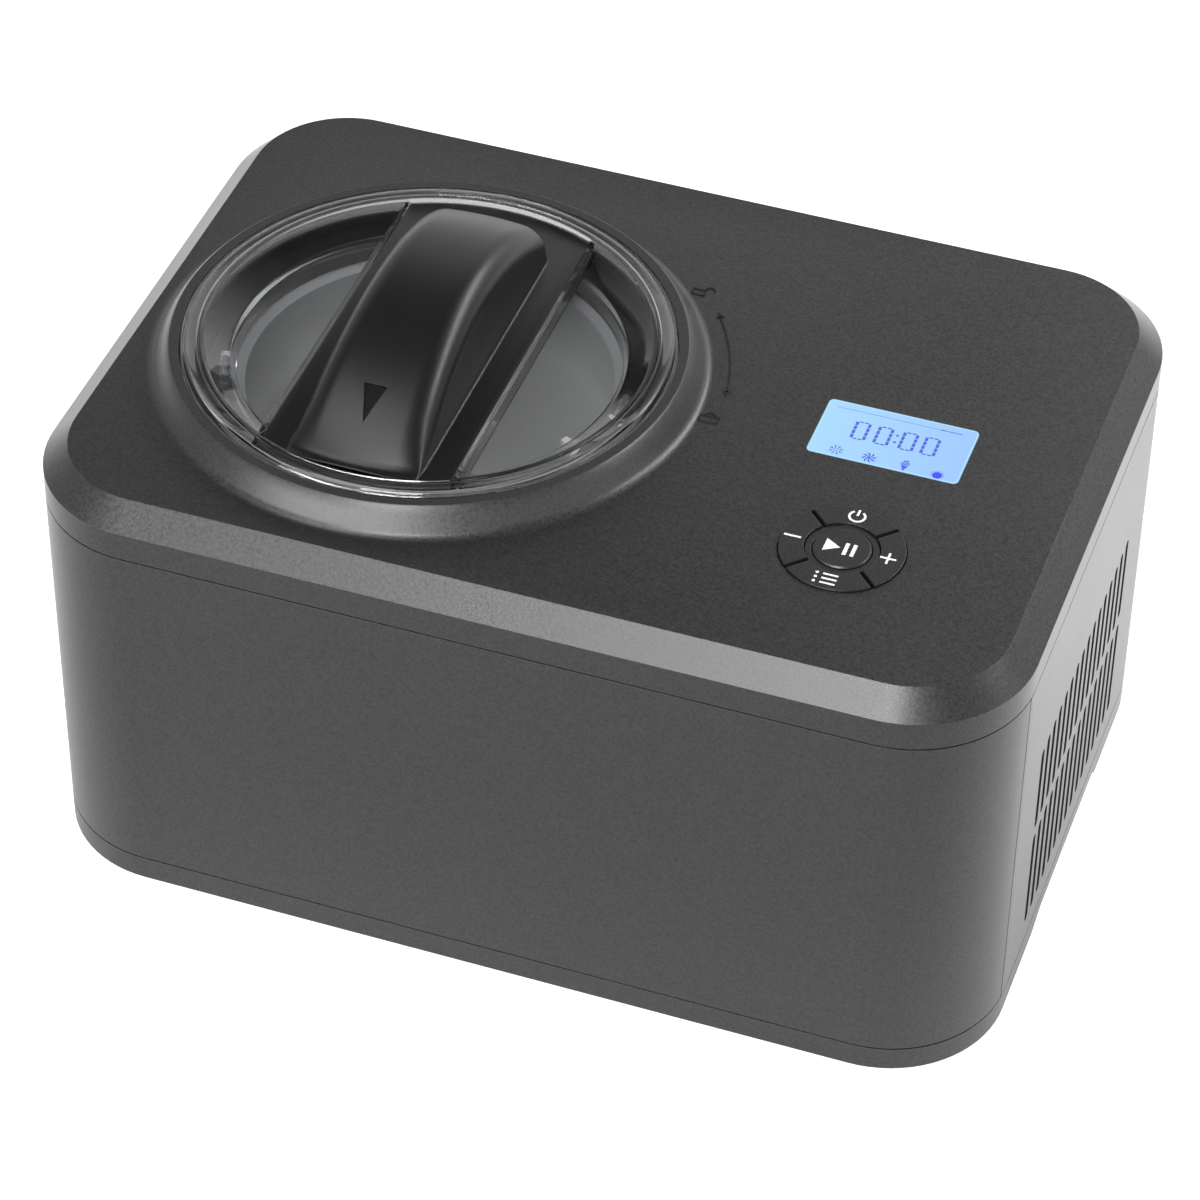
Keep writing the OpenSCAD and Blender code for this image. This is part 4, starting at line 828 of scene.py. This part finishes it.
KEY_LINE = 0.85
POWER_PLACE, POWER_R, POWER_GAP, POWER_STEM = (109.45, -44.1), 2.9, 70, (0.4, 3.7)
MINUS_PLACE, MINUS_HALF = (90.5, -62.2), 3.2
PLUS_PLACE, PLUS_HALF = (126.6, -62.5), 3.0
PLAY_PLACE, PLAY_HALF, PLAY_LENGTH = (102.8, -62.6), 3.4, 5.8
PAUSE_COLUMNS, PAUSE_TOP, PAUSE_LINE = (8.0, 10.9), 3.1, 1.4
MENU_PLACE, MENU_ROWS, MENU_DOT_R = (104.8, -80.5), (2.4, 0.0, -2.4), 0.6
MENU_START, MENU_END, MENU_LINE = 2.2, 7.9, 0.8
PRINT_SINK = 0.005


class ICECREAM_OT_keys(bpy.types.Operator):
    """Finish the five keys and print their symbols"""
    bl_idname = "icecream.keys"
    bl_label = "Keys"

    def execute(self, context):
        look = context.scene.icecream_keys
        satin = grained("Key plastic", (0.012, 0.012, 0.013), 0.34, 0.0008, 0.00003, edge=0.0006, coat=0.7)
        finish(satin, "key_frame", "key_power", "key_minus", "key_plus", "key_menu", "key_start")
        white = grained("Key print", look.print_colour, 0.5, 0.0006, 0.00001, 0.03)
        power, minus, plus, menu, start = (Stencil() for _ in range(5))
        power.at(*POWER_PLACE).arc(0.0, 0.0, POWER_R, 90 + POWER_GAP / 2, 450 - POWER_GAP / 2, KEY_LINE, 36)
        power.bar((0.0, POWER_STEM[0]), (0.0, POWER_STEM[1]), KEY_LINE)
        minus.at(*MINUS_PLACE).bar((-MINUS_HALF, 0.0), (MINUS_HALF, 0.0), KEY_LINE)
        plus.at(*PLUS_PLACE).bar((-PLUS_HALF, 0.0), (PLUS_HALF, 0.0), KEY_LINE)
        for a, b in ((-PLUS_HALF, -KEY_LINE / 2), (KEY_LINE / 2, PLUS_HALF)):
            plus.bar((0.0, a), (0.0, b), KEY_LINE)
        start.at(*PLAY_PLACE).outline([(0.0, PLAY_HALF), (0.0, -PLAY_HALF), (PLAY_LENGTH, 0.0)])
        for x in PAUSE_COLUMNS:
            start.bar((x, -PLAY_HALF), (x, PAUSE_TOP), PAUSE_LINE)
        menu.at(*MENU_PLACE)
        for y in MENU_ROWS:
            menu.disc(0.0, y, MENU_DOT_R).bar((MENU_START, y), (MENU_END, y), MENU_LINE)
        symbols = {"power": power, "minus": minus, "plus": plus, "menu": menu, "start": start}
        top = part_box("key_start")[1].z / MM
        for name, symbol in symbols.items():
            mesh = symbol.mesh("print_" + name, top - PRINT_SINK, look.print_thickness / MM)
            piece("print_" + name, mesh, white, name + "_key")
        return {"FINISHED"}


class ICECREAM_OT_inside(bpy.types.Operator):
    """Finish the bowl, paddle, drum, drive and cooling parts"""
    bl_idname = "icecream.inside"
    bl_label = "Bowl, Drive and Cooling"

    def bowl_metal(self):
        """Matt metal, painted paler deep in the bowl and darker towards its rim, standing in for how light
        falls inside it.
        """
        material, tree, shader = new_material("Bowl aluminium")
        height = split_axes(tree, object_coords(tree))[2]
        # Painted light and shade by height: pale deep in the bowl, dark at the rim.
        painted_shade_to_lip = remap(tree, height, 0.0, 1.0, 0.150, 0.178)
        tree.links.new(colour_between(tree, painted_shade_to_lip, (0.80, 0.80, 0.79), (0.40, 0.40, 0.40)),
                       shader.inputs["Base Color"])
        fine = noise(tree, 900.0)
        tree.links.new(remap(tree, fine, 0.50, 0.58), shader.inputs["Roughness"])
        tree.links.new(bump(tree, fine, 0.4, 0.00004), shader.inputs["Normal"])
        shader.inputs["Metallic"].default_value = 0.9
        return material

    def execute(self, context):
        finish(self.bowl_metal(), "bowl")
        finish(brushed("Drum aluminium", (0.66, 0.66, 0.66), 0.38, (1.0, 1.0, 12.0)), "evaporator_drum")
        finish(brushed("Flange metal", (0.16, 0.16, 0.16), 0.45), "drum_flange")
        finish(grained("Paddle plastic", (0.66, 0.65, 0.62), 0.42, 0.0012, 0.00004), "paddle")
        finish(grained("Jacket foam", (0.72, 0.66, 0.50), 0.9, 0.0022, 0.0004), "insulation_jacket")
        finish(grained("Gear nylon", (0.72, 0.69, 0.60), 0.4, 0.0010, 0.00003), "output_gear",
               "reduction_gear")
        finish(grained("Gearbox plastic", (0.03, 0.03, 0.032), 0.5), "gearbox_case", "gearbox_cover")
        finish(grained("Dark rubber", (0.015, 0.015, 0.015), 0.7, 0.0009, 0.00006), "shaft_seal",
               "compressor_grommets")
        finish(brushed("Shaft steel", (0.60, 0.60, 0.59), 0.25), "drive_shaft", "idler_pin", "motor_pinion",
               "drive_motor")
        finish(brushed("Bush bronze", (0.55, 0.38, 0.17), 0.32), "shaft_bushes")
        finish(grained("Compressor paint", (0.012, 0.012, 0.013), 0.28, 0.0018, 0.00003), "compressor")
        finish(brushed("Condenser metal", (0.50, 0.51, 0.52), 0.4), "condenser")
        finish(grained("Fan plastic", (0.014, 0.014, 0.015), 0.42), "fan_housing", "fan_rotor")
        finish(brushed("Pipe copper", (0.72, 0.34, 0.20), 0.3), "evaporator_coil", "filter_drier",
               "suction_pipe", "discharge_pipe", "condenser_pipe", "capillary_tube")
        finish(grained("Board lacquer", (0.02, 0.13, 0.06), 0.35, 0.0010, 0.00003), "control_board",
               "power_board")
        finish(grained("Switch plastic", (0.02, 0.02, 0.02), 0.4), "key_switches")
        finish(grained("Display housing", (0.60, 0.62, 0.60), 0.45), "lcd_module")
        return {"FINISHED"}


# Place, target and size of each lamp, in metres.
LAMPS = {
    "Front light": ((0.0, -1.98, 2.35), (0.0, -0.1, 0.12), (1.1, 0.9)),
    "Low front light": ((-0.60, -2.12, 0.965), (-0.07, -0.12, 0.195), (2.6, 1.1)),
    "Back light": ((0.577, 0.526, 0.794), (-0.05, 0.0, 0.22), (1.0, 0.12)),
    "Top light": ((-0.52, -0.53, 1.56), (-0.07, -0.075, 0.21), (0.8, 0.6)),
}
FLOOR_HALF, FLOOR_DROP = 9.0, 0.0005
WHITE = (1.0, 1.0, 1.0, 1.0)


class ICECREAM_OT_stage(bpy.types.Operator):
    """Lay the floor and set the lights and the world"""
    bl_idname = "icecream.stage"
    bl_label = "Studio"

    def floor_mesh(self):
        build = bmesh.new()
        corners = [build.verts.new((x * FLOOR_HALF, y * FLOOR_HALF, -FLOOR_DROP))
                   for x, y in ((-1, -1), (1, -1), (1, 1), (-1, 1))]
        build.faces.new(corners)
        mesh = bpy.data.meshes.new("studio_floor")
        build.to_mesh(mesh)
        build.free()
        return mesh

    def floor_material(self, colour):
        """Matt floor that glows to the camera, and to reflections only behind the object."""
        material = bpy.data.materials.new("Studio floor")
        material.use_nodes = True
        tree = material.node_tree
        tree.nodes.clear()
        out = tree.nodes.new("ShaderNodeOutputMaterial")
        matt = tree.nodes.new("ShaderNodeBsdfDiffuse")
        matt.inputs["Color"].default_value = (*colour, 1.0)
        glow = tree.nodes.new("ShaderNodeEmission")
        path = tree.nodes.new("ShaderNodeLightPath")
        north = split_axes(tree, object_coords(tree))[1]
        behind = remap(tree, north, 0.0, 1.0, -0.25, 0.15)
        seen = product(tree, path.outputs["Is Camera Ray"], 0.85)
        seen_through = product(tree, path.outputs["Is Transmission Ray"], 0.75)
        mirrored = product(tree, path.outputs["Is Glossy Ray"], behind)
        direct = combined(tree, "MAXIMUM", seen, seen_through)
        tree.links.new(combined(tree, "MAXIMUM", direct, mirrored), glow.inputs["Strength"])
        add = tree.nodes.new("ShaderNodeAddShader")
        tree.links.new(matt.outputs["BSDF"], add.inputs[0])
        tree.links.new(glow.outputs["Emission"], add.inputs[1])
        tree.links.new(add.outputs["Shader"], out.inputs["Surface"])
        return material

    def floor(self, colour):
        mesh = self.floor_mesh()
        mesh.materials.append(self.floor_material(colour))
        obj = bpy.data.objects.new("studio_floor", mesh)
        bpy.context.scene.collection.objects.link(obj)

    def world(self):
        """Plain white to the camera; to all else a soft sky, dimmer overhead and to the west and
        the north-east."""
        world = bpy.data.worlds.new("Studio")
        bpy.context.scene.world = world
        world.use_nodes = True
        tree = world.node_tree
        tree.nodes.clear()
        tree.nodes.new("ShaderNodeOutputWorld")
        path = tree.nodes.new("ShaderNodeLightPath")
        sky = tree.nodes.new("ShaderNodeTexCoord")
        east, north, up = split_axes(tree, sky.outputs["Generated"])
        by_height = remap(tree, up, 1.0, 0.1, 0.42, 0.70)
        by_side = remap(tree, east, 0.45, 1.0, -0.9, 0.3)
        corner = product(tree, remap(tree, east, 0.0, 1.0, 0.3, 0.7),
                         remap(tree, north, 0.0, 1.0, 0.15, 0.5))
        by_corner = remap(tree, corner, 1.0, 0.35, 0.0, 1.0)
        seen_through = remap(tree, path.outputs["Is Transmission Ray"], 1.0, 0.85, 0.0, 1.0)
        soft, white = (tree.nodes.new("ShaderNodeBackground") for _ in range(2))
        for background in (soft, white):
            background.inputs["Color"].default_value = WHITE
        white.inputs["Strength"].default_value = 1.0
        tree.links.new(product(tree, by_height, by_side, by_corner, seen_through), soft.inputs["Strength"])
        mix_to_output(tree, path.outputs["Is Camera Ray"], soft.outputs["Background"],
                      white.outputs["Background"])

    def area_light(self, name, power):
        """Adds a lamp that faces its target."""
        place, target, size = LAMPS[name]
        light = bpy.data.lights.new(name, "AREA")
        light.shape = "RECTANGLE"
        light.size, light.size_y = size
        light.energy = power
        obj = bpy.data.objects.new(name, light)
        obj.location = place
        obj.rotation_euler = (Vector(target) - Vector(place)).to_track_quat("-Z", "Y").to_euler()
        bpy.context.scene.collection.objects.link(obj)
        return obj

    def keep_off(self, light, *objects):
        """Lets a light pass some objects by, so that they don't mirror it."""
        group = bpy.data.collections.new(light.name + " passes")
        for obj in objects:
            group.objects.link(obj)
        light.light_linking.receiver_collection = group
        for entry in group.collection_objects:
            entry.light_linking.link_state = "EXCLUDE"

    def execute(self, context):
        look = context.scene.icecream_stage
        self.floor(look.floor_colour)
        self.world()
        self.area_light("Front light", look.key_power)
        self.area_light("Low front light", look.low_power)
        strip = self.area_light("Back light", look.side_power)
        self.keep_off(strip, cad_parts["lid_window"])
        self.area_light("Top light", look.top_power)
        return {"FINISHED"}


CAMERA_PLACE = (0.41734, -1.24068, 1.24705)
CAMERA_AZIMUTH, CAMERA_ELEVATION, CAMERA_ROLL = 0.3271, 0.7278, 0.0154
SENSOR_WIDTH = 36.0
CAMERA_REACH = 50.0


class ICECREAM_OT_camera(bpy.types.Operator):
    """Place the camera above the front right"""
    bl_idname = "icecream.camera"
    bl_label = "Camera"

    def execute(self, context):
        look = context.scene.icecream_stage
        level = math.cos(CAMERA_ELEVATION)
        back = Vector((math.sin(CAMERA_AZIMUTH) * level, -math.cos(CAMERA_AZIMUTH) * level,
                       math.sin(CAMERA_ELEVATION)))
        right = Vector((math.cos(CAMERA_AZIMUTH), math.sin(CAMERA_AZIMUTH), 0.0))
        up = back.cross(right)
        right_turned = math.cos(CAMERA_ROLL) * right + math.sin(CAMERA_ROLL) * up
        up_turned = -math.sin(CAMERA_ROLL) * right + math.cos(CAMERA_ROLL) * up
        camera = bpy.data.cameras.new("Camera")
        camera.lens = look.camera_lens
        camera.sensor_width = SENSOR_WIDTH
        camera.sensor_fit = "HORIZONTAL"
        camera.clip_end = CAMERA_REACH
        obj = bpy.data.objects.new("Camera", camera)
        turn = Matrix((right_turned, up_turned, back)).transposed().to_4x4()
        obj.matrix_world = Matrix.Translation(CAMERA_PLACE) @ turn
        context.scene.collection.objects.link(obj)
        context.scene.camera = obj
        context.scene.view_settings.view_transform = "Standard"
        return {"FINISHED"}


class ICECREAM_PT_panel(bpy.types.Panel):
    """Lists the pieces of the ice cream maker and their settings"""
    bl_idname = "ICECREAM_PT_panel"
    bl_label = "Ice Cream Maker"
    bl_space_type = "VIEW_3D"
    bl_region_type = "UI"
    bl_category = "Ice Cream Maker"

    def draw(self, context):
        layout = self.layout
        for operator in OPERATORS:
            layout.operator(operator.bl_idname)
        for name, group in SETTINGS.items():
            box = layout.box()
            for prop in group.__annotations__:
                box.prop(getattr(context.scene, name), prop)


OPERATORS = (ICECREAM_OT_stage, ICECREAM_OT_camera, ICECREAM_OT_housing, ICECREAM_OT_lock_marks,
             ICECREAM_OT_lid, ICECREAM_OT_handle, ICECREAM_OT_display, ICECREAM_OT_keys,
             ICECREAM_OT_inside)
SETTINGS = {
    "icecream_housing": IceCreamHousingLook,
    "icecream_lid": IceCreamLidLook,
    "icecream_display": IceCreamDisplayLook,
    "icecream_keys": IceCreamKeyLook,
    "icecream_stage": IceCreamStageLook,
}


def register():
    for group in SETTINGS.values():
        bpy.utils.register_class(group)
    for name, group in SETTINGS.items():
        setattr(bpy.types.Scene, name, PointerProperty(type=group))
    for operator in OPERATORS:
        bpy.utils.register_class(operator)
    bpy.utils.register_class(ICECREAM_PT_panel)


def unregister():
    bpy.utils.unregister_class(ICECREAM_PT_panel)
    for operator in reversed(OPERATORS):
        bpy.utils.unregister_class(operator)
    for name, group in SETTINGS.items():
        delattr(bpy.types.Scene, name)
        bpy.utils.unregister_class(group)


def main():
    register()
    bpy.ops.icecream.stage()
    bpy.ops.icecream.camera()
    bpy.ops.icecream.housing()
    bpy.ops.icecream.lock_marks()
    bpy.ops.icecream.lid()
    bpy.ops.icecream.handle()
    bpy.ops.icecream.display()
    bpy.ops.icecream.keys()
    bpy.ops.icecream.inside()


if __name__ == "__main__":
    main()
